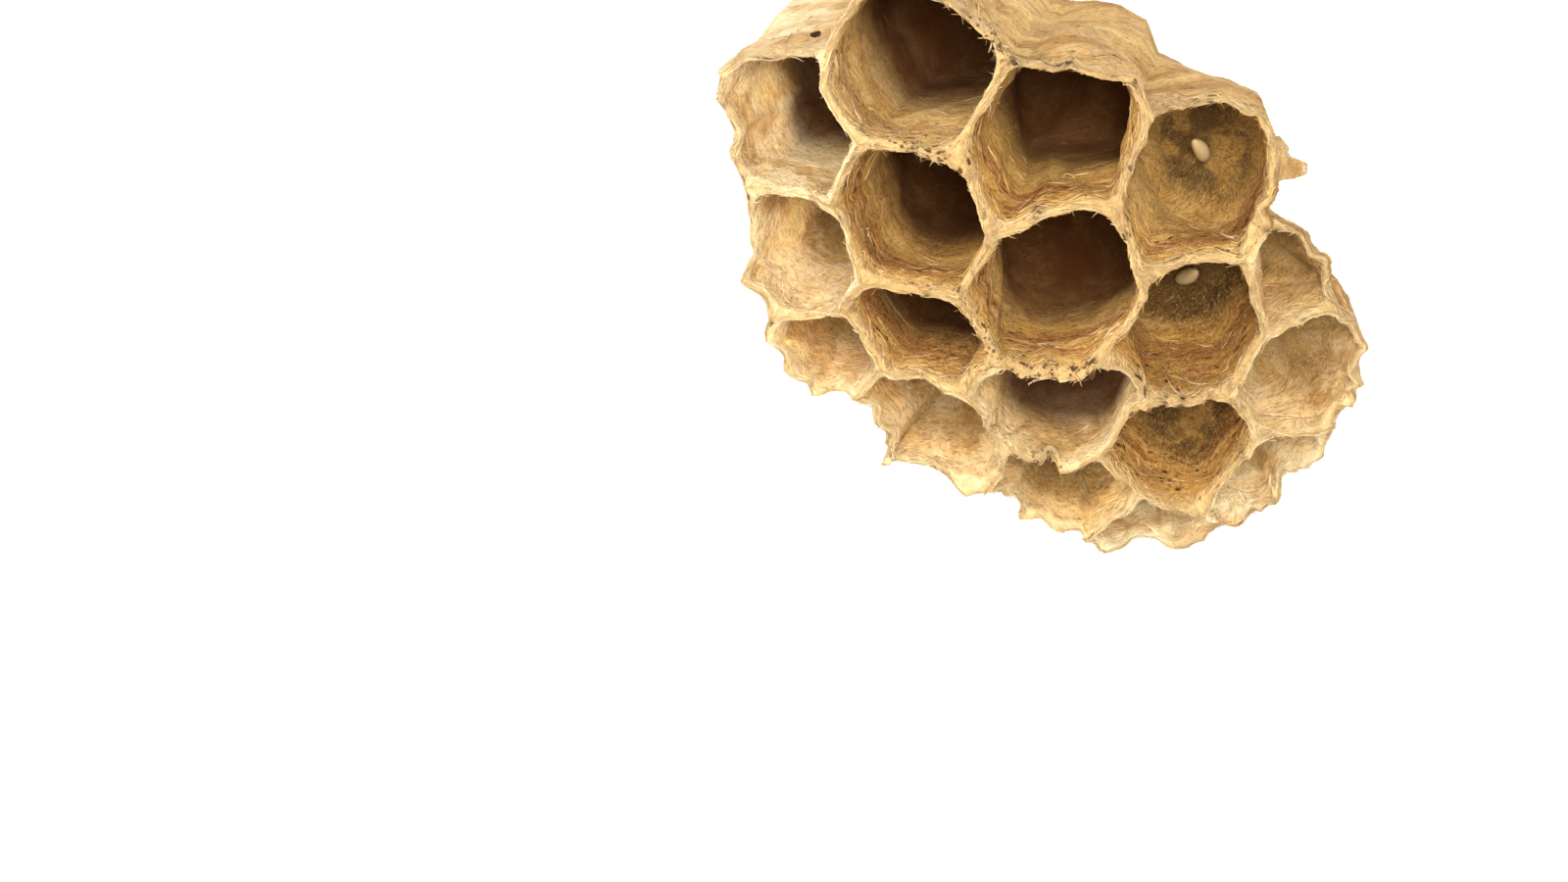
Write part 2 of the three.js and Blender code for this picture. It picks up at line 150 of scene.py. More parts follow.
# Each cell's corners in order, counter-clockwise from above.
CELLS = {
    "A": "abTop a6 a5 a4 a3 a2 a1 alTop alBow alo aob",
    "B": "abTop aob boc bcBow bec beTop b4 b3 b2 b1",
    "C": "boc cno cdn cdBow1 cdBow2 cdBow3 cdf cfBow2 cfBow1 cef bec bcBow",
    "D": "cdn djn djk dkSag dkSwell dgk dfg cdf cdBow3 cdBow2 cdBow1",
    "E": "beTop bec cef efi ei e6 e5 e4 e3 e2 e1",
    "F": "cef cfBow1 cfBow2 cdf dfg fgh fhi efi",
    "G": "dfg dgk gkp gpq ghq fgh",
    "H": "fgh ghq hq h3 h2 h1 ih fhi",
    "I": "efi fhi ih i3 i2 i1 ei",
    "J": "djn njs js j5 j4 j3 j2 j1 jk djk",
    "K": "djk jk k3 k2 k1 kp gkp dgk dkSwell dkSag",
    "L": "alTop l6 l5 l4 l3 l2 l1 lm lmo alo alBow",
    "M": "lmo lm m2 m1 ms mns mon",
    "N": "mon mns njs djn cdn cno",
    "O": "aob alo lmo mon cno boc",
    "P": "gkp kp p3 p2 p1 pq gpq",
    "Q": "ghq gpq pq q3 q2 q1 hq",
    "S": "mns ms s3 s2 s1 js njs",
}

# Cells that grubs were reared in: the share of the depth at which their darkening begins. It is partly the
# stain that the grubs left and partly painted shade deep in the cell.
REARED = {"A": 0.34, "B": 0.3, "C": 0.33, "D": 0.3, "N": 0.3, "O": 0.3, "L": 0.5}
UNSTAINED = 9.0  # beyond any floor
STAIN_SPREAD = 0.42  # share of the depth over which the stain sets in

# How pale the pulp of each cell is, from -1, dark old wood, to 1, fresh straw. For the palest cells of the
# margin, L above all, it is also a painted glow of light through their thin walls.
PULP_AND_PAINTED_LIGHT = {"A": 0.5, "B": 0.05, "C": 0.25, "D": 0.8, "E": 0.3, "F": -0.65, "G": 0.1, "H": 0.75, "I": 0.62,
        "J": 0.8, "K": 0.62, "L": 1.3, "M": 0.9, "N": 0.2, "O": 0.0, "P": 1.3, "Q": 1.15, "S": 0.8}

# Places on the plan where a rim is torn and hairy: x, y, half width.
TORN = (
    (-2.6, -5.4, 1.3), (-0.4, -11.4, 0.9), (1.8, -12.5, 1.6),
    (1.6, -15.2, 0.9), (-0.2, -1.5, 1.0), (1.4, -7.4, 0.5),
)
TORN_FRAY = 0.8  # how much further its edge rises and dips there
TORN_EDGE = (1.2, 0.8)  # of the half width, between which the lace of a torn rim begins
TORN_BAND = (0.6, 0.2)  # distances below the rim between which it ends
TORN_LOOSE = 2.5  # how much further its fibres stand off

# Places on the plan where a rim is chipped: x, y, half width, depth.
CHIPS = (
    (1.9, -15.3, 0.35, 0.45), (4.6, -16.2, 0.3, 0.3), (8.6, -7.9, 0.35, 0.3), (-2.6, -5.2, 0.3, 0.25),
    (-0.4, -2.0, 0.3, 0.35), (0.4, -14.7, 0.25, 0.25), (11.3, -13.9, 0.3, 0.3), (7.4, -17.1, 0.3, 0.3),
)

# Ragged sheets that stand out from an outer wall: the corners that they hang between, how far
# below the rim, and how far their torn edge stands out from the first corner to the last.
FLAPS = (
    (("e4", "e5", "e6"), 0.7, (0.3, 0.5, 0.55, 0.4, 0.7, 1.0, 0.9, 0.5, 0.1, 0.04, 0.02, 0.02)),
    (("i3", "ih"), 0.25, (0.05, 0.25, 0.1, 0.3, 0.12, 0.2, 0.02)),
    (("k1", "kp"), 0.3, (0.02, 0.3, 0.15, 0.02)),
)
FLAP_HALF = 0.06  # half of a flap's thickness at its root
FLAP_THINNING = 0.6  # share of that lost towards the torn edge
FLAP_SINK = 0.02  # how far its root reaches into the wall
FLAP_BELOW = 1.5  # it is marked like the paper this far below the rim
FLAP_ZONE, FLAP_TONE = (0.1, 0, 0), -0.4  # a little stained, and dull

# The small round hole in the outer wall of cell L: its middle and its size. The hole is not cut through: the
# mesh dips there and painted shade darkens it.
BORE = np.array([-5.57, -1.43, 12.35])
BORE_RADIUS = 0.19
BORE_STRETCH = np.array([1.0, 0.6, 0.5])  # the hole is longer down the wall than along it
BORE_DENT = 0.2  # how deep the mesh dips there

OUTER_TONE = 0.7  # how much of its cell's tone an outer wall has
STRIP_PACE = [0.14, 0.14, 1.0]  # relief changes more slowly along the rim than down the wall
FIBRE_PACE = [0.4, 0.4, 1.0]
RELIEF_DEPTH = 5.0  # distance below the rim in which the strips' relief dies out
TABLE_TOUCH = (-0.5, 1.5)  # heights between which the walls begin to sway up and down
LOWEST_FLOOR = 0.32  # height of the inside of a cell over the table, at least

# ---- Fineness of the meshes ----------------------------------------------------------------

STATION_STEP = 0.19  # millimetres between points along a rim
LIP_RINGS = 4
WALL_RINGS = 22
FILLET_RINGS = 5
FLOOR_RINGS = 7
OUTER_RINGS = 20
BACK_RINGS = 6
FLAP_ROWS = 6
WALL_EVENNESS = 0.35  # rings are closer near the rim: one for even steps, nothing for squared ones
OUTER_EVENNESS = 0.4


def linear(code):
    """An sRGB hex colour as linear red, green and blue."""
    values = [int(code[i : i + 2], 16) / 255 for i in (1, 3, 5)]
    return [v / 12.92 if v <= 0.04045 else ((v + 0.055) / 1.055) ** 2.4 for v in values]


# ---- Settings ------------------------------------------------------------------------------


def length_setting(name, description, default, low, high):
    """A length for the panel, given in millimetres."""
    return bpy.props.FloatProperty(
        name=name, description=description, default=default * MM, min=low * MM, max=high * MM,
        unit="LENGTH", precision=6)


def colour_setting(name, description, code):
    """A colour for the panel."""
    return bpy.props.FloatVectorProperty(
        name=name, description=description, subtype="COLOR", size=3, min=0, max=1, default=linear(code))


class WaspNestComb(bpy.types.PropertyGroup):
    """Sizes and colours of the wood-pulp paper."""

    wall: length_setting("Wall", "Thickness of a cell's wall at its rim", 0.21, 0.1, 0.42)
    fray: length_setting("Fray", "How far the torn edge of a rim rises and dips", 0.08, 0.0, 0.3)
    sway: length_setting("Sway", "How far the walls bend out of line", 0.11, 0.0, 0.4)
    ridge: length_setting("Ridge", "Height of the ridges between the strips of pulp", 0.012, 0.0, 0.1)
    straw: colour_setting("Straw", "Weathered grass and pale wood fibre", "#EBC071")
    buff: colour_setting("Buff", "The paper's usual colour", "#CF9A48")
    umber: colour_setting("Umber", "Strips chewed from darker wood", "#855A28")
    russet: colour_setting("Russet", "Red-brown strips below the rims", "#9C5C28")
    # Partly the grubs' stain and partly painted shade deep in the tall cells.
    stain_and_shade: colour_setting("Stain", "What the grubs left deep in the tall cells", "#4E290A")


class WaspNestStalk(bpy.types.PropertyGroup):
    """Sizes and colours of the stalk."""

    waist: length_setting("Waist", "Radius of the stalk at its thinnest", 0.8, 0.4, 1.2)
    head: length_setting("Head", "Radius where the stalk spreads over the comb's back", 1.7, 0.8, 2.4)
    foot: length_setting("Foot", "Radius of the flat cut face", 2.58, 1.0, 2.6)
    resin: colour_setting("Resin", "Dark varnish of dried saliva", "#2A180C")
    pith: colour_setting("Pith", "Wood pulp that shows through the varnish", "#6E4A26")


class WaspNestEggs(bpy.types.PropertyGroup):
    """Sizes and colour of the eggs."""

    length: length_setting("Length", "Length of an egg", 1.3, 0.8, 1.6)
    width: length_setting("Width", "Width of an egg", 0.5, 0.3, 0.6)
    pearl: colour_setting("Pearl", "Colour of the egg's skin", "#C8B283")


class WaspNestStudio(bpy.types.PropertyGroup):
    """The table, the lamps and the camera."""

    table: colour_setting("Table", "Colour of the table", "#FBFAF6")
    height: length_setting("Camera height", "Height of the camera above the table", 410, 100, 1000)
    key: bpy.props.FloatProperty(
        name="Key lamp", description="Power of the large lamp above the head of the table",
        default=4.2, min=0, unit="POWER")
    fill: bpy.props.FloatProperty(
        name="Fill", description="Brightness of the room", default=0.8, min=0)
    lens: bpy.props.FloatProperty(
        name="Lens", description="Focal length in millimetres", default=288.0, min=50, max=400)


# ---- Shapes from the plan ------------------------------------------------------------------


def unit(vectors):
    """These vectors, each of length one."""
    return vectors / np.linalg.norm(vectors, axis=-1, keepdims=True)


WAVES = 14  # that add up to a ripple
WAVE_PACES = (0.6, 1.6)  # how much slower and faster than the ripple's own they go
HIGHEST_WAVE = 2.2


def ripple(points, length, seed):
    """Smooth unevenness of about one either way, whose swells are this length apart."""
    chance = np.random.default_rng(seed)
    heading = unit(chance.normal(size=(WAVES, 3)))
    pace = chance.uniform(*WAVE_PACES, WAVES) * 2 * np.pi / length
    start = chance.uniform(0, 2 * np.pi, WAVES)
    swell = np.sin(points @ (heading * pace[:, None]).T + start).sum(axis=-1)
    return np.clip(swell / math.sqrt(WAVES / 2), -HIGHEST_WAVE, HIGHEST_WAVE)


def ripples(points, kinds):
    """Unevenness of several kinds together: how much, the length of its swells, and its seed."""
    return sum(amount * ripple(points, length, seed) for amount, length, seed in kinds)


def nearness(points, x, y, width):
    """One at this place on the plan, and less with the distance from it."""
    return np.exp(-((np.hypot(points[:, 0] - x, points[:, 1] - y) / width) ** 2))


def smoothstep(low, high, values):
    """Zero below low, one above high, and a smooth slope between."""
    share = np.clip((values - low) / (high - low), 0, 1)
    return share * share * (3 - 2 * share)


def soft_least(first, second, width):
    """The smaller of the two, rounded off where they cross."""
    share = np.clip(0.5 + 0.5 * (second - first) / width, 0, 1)
    return second * (1 - share) + first * share - width * share * (1 - share)


def corner_point(name):
    """A rim corner in space."""
    x, y, reach = CORNERS[name]
    return np.array([x, y, DOME[2] + math.sqrt(reach**2 - (x - DOME[0]) ** 2 - (y - DOME[1]) ** 2)])


def back_height(offsets):
    """How far the comb's back is from DOME in these directions."""
    arc = np.arccos(np.clip(unit(offsets) @ STALK_AXIS, -1, 1)) * BACK_AT_MARGIN
    rise = 1 - np.exp(-((arc / BACK_SPREAD) ** 2))
    return BACK_AT_STALK + (BACK_AT_MARGIN - BACK_AT_STALK) * rise


def wall_depths(rims, directions):
    """Follows each wall down from its rim to the comb's back, and says how far that is."""
    highest = np.linalg.norm(rims - DOME, axis=1) - LEAST_DEPTH
    feet = rims.copy()
    for _ in range(BACK_PASSES):
        offsets = feet - DOME
        excess = np.linalg.norm(offsets, axis=1) - np.minimum(back_height(offsets), highest)
        feet -= directions * excess[:, None]
    return np.linalg.norm(feet - rims, axis=1)


class Plan:
    """The stations along every rim, shared by the cells on its two sides."""

    def __init__(self, wall):
        self.lines, self.leans = [], []
        self.at_corner = {}
        self.along = {}
        sides = {}
        for cell in CELLS:
            for start, end in self.pairs(cell):
                sides.setdefault(self.key(start, end), []).append((start, end))
        self.outline = [pairs[0] for pairs in sides.values() if len(pairs) == 1]
        for name in CORNERS:
            self.at_corner[name] = self.station(corner_point(name), self.lean(name))
        for key in sides:
            self.along[key] = self.edge(*key)
        self.rim = np.array(self.lines)
        self.direction = unit(self.rim - FOCUS - np.array(self.leans))
        self.sheet = unit(self.rim - FOCUS) * MEAN_REACH
        self.depth = wall_depths(self.rim, self.direction)
        self.half = wall / 2 * (1 + ripples(self.sheet, WALL_UNEVEN))
        self.outward = self.find_outward()
        # The low walls of the margin flare out at the rim, and unevenly.
        low = smoothstep(*FLARE_RIMS, np.linalg.norm(self.rim - DOME, axis=1))
        self.flare = low * (FLARE + ripples(self.sheet, FLARE_UNEVEN)) + ripples(self.sheet, RIM_UNEVEN)

    @staticmethod
    def key(start, end):
        return tuple(sorted((start, end)))

    @staticmethod
    def pairs(cell):
        """The corners at the two ends of each side of a cell."""
        names = CELLS[cell].split()
        return list(zip(names, names[1:] + names[:1]))

    @staticmethod
    def lean(name):
        return np.array([*LEANS.get(name, (0, 0)), 0.0])

    def station(self, point, lean):
        self.lines.append(point)
        self.leans.append(lean)
        return len(self.lines) - 1

    def edge(self, first, last):
        """Stations from the first corner to the last, dipping a little between them."""
        start, end = corner_point(first), corner_point(last)
        steps = max(1, round(np.linalg.norm(end - start) / STATION_STEP))
        between = []
        for step in range(1, steps):
            share = step / steps
            point = start * (1 - share) + end * share
            point += unit(FOCUS - point) * RIM_SAG * 4 * share * (1 - share)
            between.append(self.station(point, self.lean(first) * (1 - share) + self.lean(last) * share))
        return [self.at_corner[first], *between, self.at_corner[last]]

    def run(self, start, end):
        """The stations from one corner to the next, both included."""
        stations = self.along[self.key(start, end)]
        return stations if stations[0] == self.at_corner[start] else stations[::-1]

    def loop(self, cell):
        """A cell's stations, counter-clockwise from above."""
        return [s for pair in self.pairs(cell) for s in self.run(*pair)[:-1]]

    def find_outward(self):
        """At each station on the outline the way out of the comb, and nothing at the others."""
        lines = self.rim
        outward = np.zeros((len(lines), 3))
        for start, end in self.outline:
            stations = self.run(start, end)
            along = np.gradient(lines[stations], axis=0)
            outward[stations] += unit(np.cross(along, self.direction[stations]))
        on_outline = np.linalg.norm(outward, axis=1) > 0
        outward[on_outline] = unit(outward[on_outline])
        for key, stations in self.along.items():
            if any(self.key(*pair) == key for pair in self.outline):
                continue
            for near, order in ((stations[0], stations[1:-1]), (stations[-1], stations[-2:0:-1])):
                gap = np.linalg.norm(lines[order] - lines[near], axis=1)
                outward[order] += outward[near] * np.clip(1 - gap / OUTWARD_REACH, 0, 1)[:, None]
        return outward


class Draft:
    """Points in millimetres with what the paper needs to know of them, and the faces between."""

    def __init__(self):
        self.points, self.weave, self.zone, self.tone = [], [], [], []
        self.faces, self.grids, self.count = [], [], 0

    def add(self, points, weave, zone, tone=0.0):
        """New points; weave is place along and below the rim, zone is the darkening deep in reared cells
        (staining and painted shade), floor and inside.
        """
        self.points.append(points)
        self.tone.append(np.broadcast_to(tone, len(points)))
        self.weave.append(weave)
        self.zone.append(np.broadcast_to(zone, points.shape))
        self.count += len(points)
        return np.arange(self.count - len(points), self.count)

    def strip(self, upper, lower, closed=True):
        """Quads between two rows of points."""
        a, b = np.asarray(upper), np.asarray(lower)
        after_a, after_b = np.roll(a, -1), np.roll(b, -1)
        quads = np.stack([a, after_a, after_b, b], axis=1)
        self.faces.extend((quads if closed else quads[:-1]).tolist())

    def fan(self, ring, centre):
        """Triangles from a row of points to one point."""
        self.faces.extend(np.stack([ring, np.roll(ring, -1), np.full(len(ring), centre)], axis=1).tolist())


def point_normals(points, faces):
    """The outward direction at each point."""
    normals = np.zeros_like(points)
    for size in (3, 4):
        chosen = np.array([f for f in faces if len(f) == size])
        across = points[chosen[:, 2]] - points[chosen[:, 0]]
        facing = np.cross(across, points[chosen[:, -1]] - points[chosen[:, 1]])
        for column in range(size):
            np.add.at(normals, chosen[:, column], facing)
    return unit(normals)


def wall_rows(half, foot, count, evenness):
    """Down a wall: each row's distance below the rim, share of the way round the lip, and path."""
    for step in range(1, LIP_RINGS + 1):
        angle = math.pi / 2 * step / LIP_RINGS
        yield half * (1 - math.cos(angle)), math.sin(angle), half * angle
    for step in range(1, count + 1):
        share = step / count
        share = evenness * share + (1 - evenness) * share**2
        below = half + (foot - half) * share
        yield below, 1.0, below


def add_disc(draft, ring, edge, centre, swell, sheet, look, count):
    """Smaller and smaller rings inside this one, up to a middle that stands out by swell.

    At a share of the way in, look says how far the paper there is from the rim, its zone and tone.
    """
    for step in range(1, count + 1):
        share = step / count
        points = edge * (1 - share) + centre * share + swell * (1 - (1 - share) ** 2)
        swept = sheet * (1 - share) + sheet.mean(axis=0) * share
        travelled, zone, tone = look(share)
        marks = np.column_stack([swept[:, :2], travelled])
        if step == count:
            middle = draft.add(points[:1], marks.mean(axis=0)[None], np.atleast_2d(zone)[:1], tone)
            draft.fan(ring, middle[0])
        else:
            ids = draft.add(points, marks, zone, tone)
            draft.strip(ring, ids)
            ring = ids


def add_cell(draft, plan, cell, rim_ids, back_ids, fray):
    """One cell: its lip, wall, floor, and the swelling on the comb's back."""
    loop = np.array(plan.loop(cell))
    way, rims, half, sheet = plan.direction[loop], plan.rim[loop], plan.half[loop], plan.sheet[loop]
    outward, flare = plan.outward[loop], plan.flare[loop]
    depth = plan.depth[loop] - FLOOR
    onset, tone = REARED.get(cell, UNSTAINED), PULP_AND_PAINTED_LIGHT[cell]

    def ring(below, tuck):
        """The axis, and points this far below the rim; tuck is the way from mid-wall to inner face."""
        torn = fray[loop] * np.exp(-((below / FRAY_HEIGHT) ** 2))
        sideways = flare * np.exp(-below / FLARE_HEIGHT) - half
        middle = rims - way * (below - torn)[:, None] + outward * sideways[:, None]
        axis = middle.mean(axis=0)
        gap = np.linalg.norm(middle - axis, axis=1)
        roundest = MOUTH_ROUNDING * gap.mean()
        inner = soft_least(gap - half, np.full(len(gap), roundest), CORNER_SOFTNESS)
        return axis, axis + (middle - axis) * ((gap + (inner - gap) * tuck) / gap)[:, None]

    def zone(below, floor):
        stained = smoothstep(onset, onset + STAIN_SPREAD, below / depth)
        return np.column_stack([stained, np.full(len(below), floor), np.ones(len(below))])

    def lay(points, travelled, kind):
        """The next row of points down the wall."""
        rows.append(draft.add(points, np.column_stack([sheet[:, :2], travelled]), kind, tone))
        draft.strip(rows[-2], rows[-1])

    axis, lowest = ring(depth, 1)
    room = np.linalg.norm(lowest - axis, axis=1).min()
    fillet = np.minimum(FILLET_SHARE * np.minimum(depth, SHALLOW), FILLET_ROOM * room)
    rows = [rim_ids[loop]]
    for below, tuck, travelled in wall_rows(half, depth - fillet, WALL_RINGS, WALL_EVENNESS):
        lay(ring(below, tuck)[1], travelled, zone(below, 0))
    draft.grids.append((np.array(rows), True))
    for step in range(1, FILLET_RINGS + 1):
        angle = math.pi / 2 * step / FILLET_RINGS
        below = depth - fillet + fillet * math.sin(angle)
        axis, points = ring(below, 1)
        gap = np.linalg.norm(points - axis, axis=1)
        points = axis + (points - axis) * (1 - fillet * (1 - math.cos(angle)) / gap)[:, None]
        travelled = depth - fillet + fillet * angle
        lay(points, travelled, zone(below, smoothstep(0, FLOOR_ANGLE, angle)))
    gap = np.linalg.norm(points - axis, axis=1)
    add_disc(draft, rows[-1], points, axis, unit(FOCUS - axis) * FLOOR_SAG, sheet,
             lambda share: (travelled + gap * share, zone(below, 1), tone), FLOOR_RINGS)

    loop = loop[::-1]
    depth = plan.depth[loop]
    lined = plan.rim[loop] - plan.direction[loop] * depth[:, None]
    core = lined.mean(axis=0)
    reach = np.linalg.norm(lined - core, axis=1)

    def behind(share):
        """The strips follow the wall's foot at first, and then go round the cell."""
        level = min(1, BACK_TURN * share)
        foot = depth * (1 - level) + depth.mean() * level
        return foot + reach * share, [0, BACK_DULL * level, 0], 0.0

    add_disc(draft, back_ids[loop], lined, core, unit(FOCUS - core) * BACK_BULGE, plan.sheet[loop],
             behind, BACK_RINGS)


def add_flap(draft, plan, corners, below, reaches):
    """A thin torn sheet that stands out from the outer wall between these corners."""
    runs = [plan.run(start, end) for start, end in zip(corners, corners[1:])]
    stations = np.array([s for run in runs for s in run[:-1]] + [runs[-1][-1]])
    root = plan.rim[stations] - plan.direction[stations] * below
    share = np.linspace(0, 1, len(stations))
    reach = np.interp(share, np.linspace(0, 1, len(reaches)), reaches)
    previous = None
    for step in range(-1, FLAP_ROWS + 1):
        out = step / FLAP_ROWS
        spot = root + plan.outward[stations] * (reach * out - FLAP_SINK)[:, None]
        spot += plan.direction[stations] * (ripples(spot, FLAP_UNEVEN) * reach * out)[:, None]
        thick = plan.direction[stations] * FLAP_HALF * (1 - FLAP_THINNING * max(out, 0))
        marks = np.column_stack([plan.sheet[stations, :2], below + FLAP_BELOW + reach * out])
        upper, lower = (draft.add(spot + thick * side, marks, FLAP_ZONE, FLAP_TONE) for side in (1, -1))
        if previous:
            draft.strip(upper, previous[0], closed=False)
            draft.strip(previous[1], lower, closed=False)
            draft.faces.append([previous[0][0], upper[0], lower[0], previous[1][0]])
            draft.faces.append([upper[-1], previous[0][-1], previous[1][-1], lower[-1]])
        else:
            draft.strip(upper, lower, closed=False)
        previous = upper, lower
    draft.strip(previous[1], previous[0], closed=False)


def outer_tones(plan, on_outline):
    """How pale the outer walls are: like their cells, but less so, and blended where two meet."""
    tones = np.zeros(len(plan.rim))
    for cell in CELLS:
        for pair in plan.pairs(cell):
            if pair in plan.outline:
                tones[plan.run(*pair)] = PULP_AND_PAINTED_LIGHT[cell]
    spots = plan.rim[on_outline]
    near = np.exp(-(np.linalg.norm(spots[:, None] - spots[None], axis=2) ** 2))
    tones[on_outline] = OUTER_TONE * near @ tones[on_outline] / near.sum(axis=1)
    return tones


def comb_draft(wall, fray_height):
    """The whole comb, with no thickness left open."""
    plan = Plan(wall)
    ragged = np.clip(ripples(plan.sheet, RAGGED_PLACES), 0, 1)
    fray = fray_height * (ripples(plan.sheet, FRAY_UNEVEN) + ragged * ripples(plan.sheet, RAGGED_UNEVEN))
    for x, y, width in TORN:
        fray *= 1 + TORN_FRAY * nearness(plan.rim, x, y, width)
    for x, y, width, deep in CHIPS:
        fray -= deep * nearness(plan.rim, x, y, width)
    draft = Draft()

    def marks(below):
        return np.column_stack([plan.sheet[:, :2], below])

    rims = plan.rim + plan.direction * fray[:, None] + plan.outward * (plan.flare - plan.half)[:, None]
    rim_ids = draft.add(rims, marks(np.zeros(len(rims))), [0, 0, 0.5])
    backs = plan.rim - plan.direction * plan.depth[:, None]
    back_ids = draft.add(backs, marks(plan.depth), [0, 0, 0])

    on_outline = sorted({s for pair in plan.outline for s in plan.run(*pair)})
    tones = outer_tones(plan, on_outline)
    wall_ids = np.tile(back_ids, (LIP_RINGS + OUTER_RINGS, 1))
    rows = list(wall_rows(plan.half, plan.depth, OUTER_RINGS, OUTER_EVENNESS))[:-1]
    for row, (below, tuck, travelled) in enumerate(rows):
        torn = fray * np.exp(-((below / FRAY_HEIGHT) ** 2))
        sideways = plan.flare * np.exp(-below / FLARE_HEIGHT) - plan.half * (1 - tuck)
        points = plan.rim - plan.direction * (below - torn)[:, None] + plan.outward * sideways[:, None]
        wall_ids[row, on_outline] = draft.add(
            points[on_outline], marks(travelled)[on_outline], [0, 0, 0], tones[on_outline])

    for cell in CELLS:
        add_cell(draft, plan, cell, rim_ids, back_ids, fray)
    for pair in plan.outline:
        stations = np.array(plan.run(*pair))
        grid = np.vstack([rim_ids[stations], wall_ids[:, stations]])
        for upper, lower in zip(grid, grid[1:]):
            draft.strip(lower, upper, closed=False)
        draft.grids.append((grid, False))
    for corners, below, reaches in FLAPS:
        add_flap(draft, plan, corners, below, reaches)
    return draft


def shape_paper(draft, sway, ridge):
    """The finished points, with walls out of line and strips that stand proud, and their marks."""
    points = np.concatenate(draft.points)
    weave = np.concatenate(draft.weave)
    zone = np.concatenate(draft.zone)
    rise = smoothstep(*TABLE_TOUCH, points[:, 2])
    for amount, length in SWAY:
        bend = np.column_stack([ripple(points, length, seed) for seed in SWAY_SEEDS])
        bend[:, 2] *= rise
        points = points + bend * sway * amount
    normals = point_normals(points, draft.faces)
    relief = ripples(weave * STRIP_PACE, STRIP_RELIEF) + ripples(weave * FIBRE_PACE, FIBRE_RELIEF)
    points = points + normals * (relief * ridge * np.exp(-weave[:, 2] / RELIEF_DEPTH))[:, None]
    gap = np.linalg.norm((points - BORE) * BORE_STRETCH, axis=1)
    dent = np.where(zone[:, 2] < 0.1, np.exp(-((gap / BORE_RADIUS) ** 2)), 0)
    points = points - normals * (dent * BORE_DENT)[:, None]
    points[:, 2] = np.maximum(points[:, 2], np.where(zone[:, 2] > 0.9, LOWEST_FLOOR, 0.0))
    torn = np.zeros(len(points))
    band = smoothstep(*TORN_BAND, weave[:, 2])
    for x, y, width in TORN:
        gap = np.hypot(points[:, 0] - x, points[:, 1] - y) / width
        torn = np.maximum(torn, smoothstep(*TORN_EDGE, gap) * band)
    return points, np.column_stack([weave, zone, np.concatenate(draft.tone), torn])


# What the paper's materials read at each point, and how many numbers that is.
MARKS = (("weave", 3), ("zone", 3), ("tone", 1), ("torn", 1), ("shade", 1))
MIDDLE_SHADE = 0.5  # the comb's own; a fibre's is anywhere between dark, nothing, and pale, one


def place(data):
    """A new object with this mesh, lamp or camera."""
    made = bpy.data.objects.new(data.name, data)
    bpy.context.collection.objects.link(made)
    return made


def place_mesh(mesh, material):
    """A smooth object with this mesh."""
    mesh.polygons.foreach_set("use_smooth", [True] * len(mesh.polygons))
    mesh.materials.append(material)
    return place(mesh)


def mesh_object(name, points, faces, material, marks=None):
    """A smooth object from points in millimetres, and the marks of its paper."""
    mesh = bpy.data.meshes.new(name)
    mesh.from_pydata((np.asarray(points) * MM).tolist(), [], [list(f) for f in faces])
    column = 0
    for label, size in MARKS if marks is not None else ():
        kind, field = ("FLOAT_VECTOR", "vector") if size == 3 else ("FLOAT", "value")
        values = marks[:, column : column + size].astype(np.float32)
        mesh.attributes.new(label, kind, "POINT").data.foreach_set(field, values.ravel())
        column += size
    mesh.update()
    return place_mesh(mesh, material)


# ---- Materials -----------------------------------------------------------------------------


def add_node(tree, kind, settings=None, inputs=None):
    """One node with its settings, and its inputs set to values or joined to other nodes' outputs."""
    node = tree.nodes.new("ShaderNode" + kind)
    for name, value in (settings or {}).items():
        setattr(node, name, value)
    for name, value in (inputs or {}).items():
        if isinstance(value, bpy.types.NodeSocket):
            tree.links.new(value, node.inputs[name])
        else:
            node.inputs[name].default_value = value
    return node


def make_material(name, looks, *colours):
    """A material whose one shader has the inputs that looks gives for these colours."""
    material = bpy.data.materials.new(name)
    material.use_nodes = True
    tree = material.node_tree
    tree.nodes.clear()
    shader = add_node(tree, "BsdfPrincipled", inputs=looks(tree, *colours))
    add_node(tree, "OutputMaterial", inputs={"Surface": shader.outputs["BSDF"]})
    return material


MIX_SHARE, MIX_FIRST, MIX_SECOND, MIX_RESULT = 0, 6, 7, 2


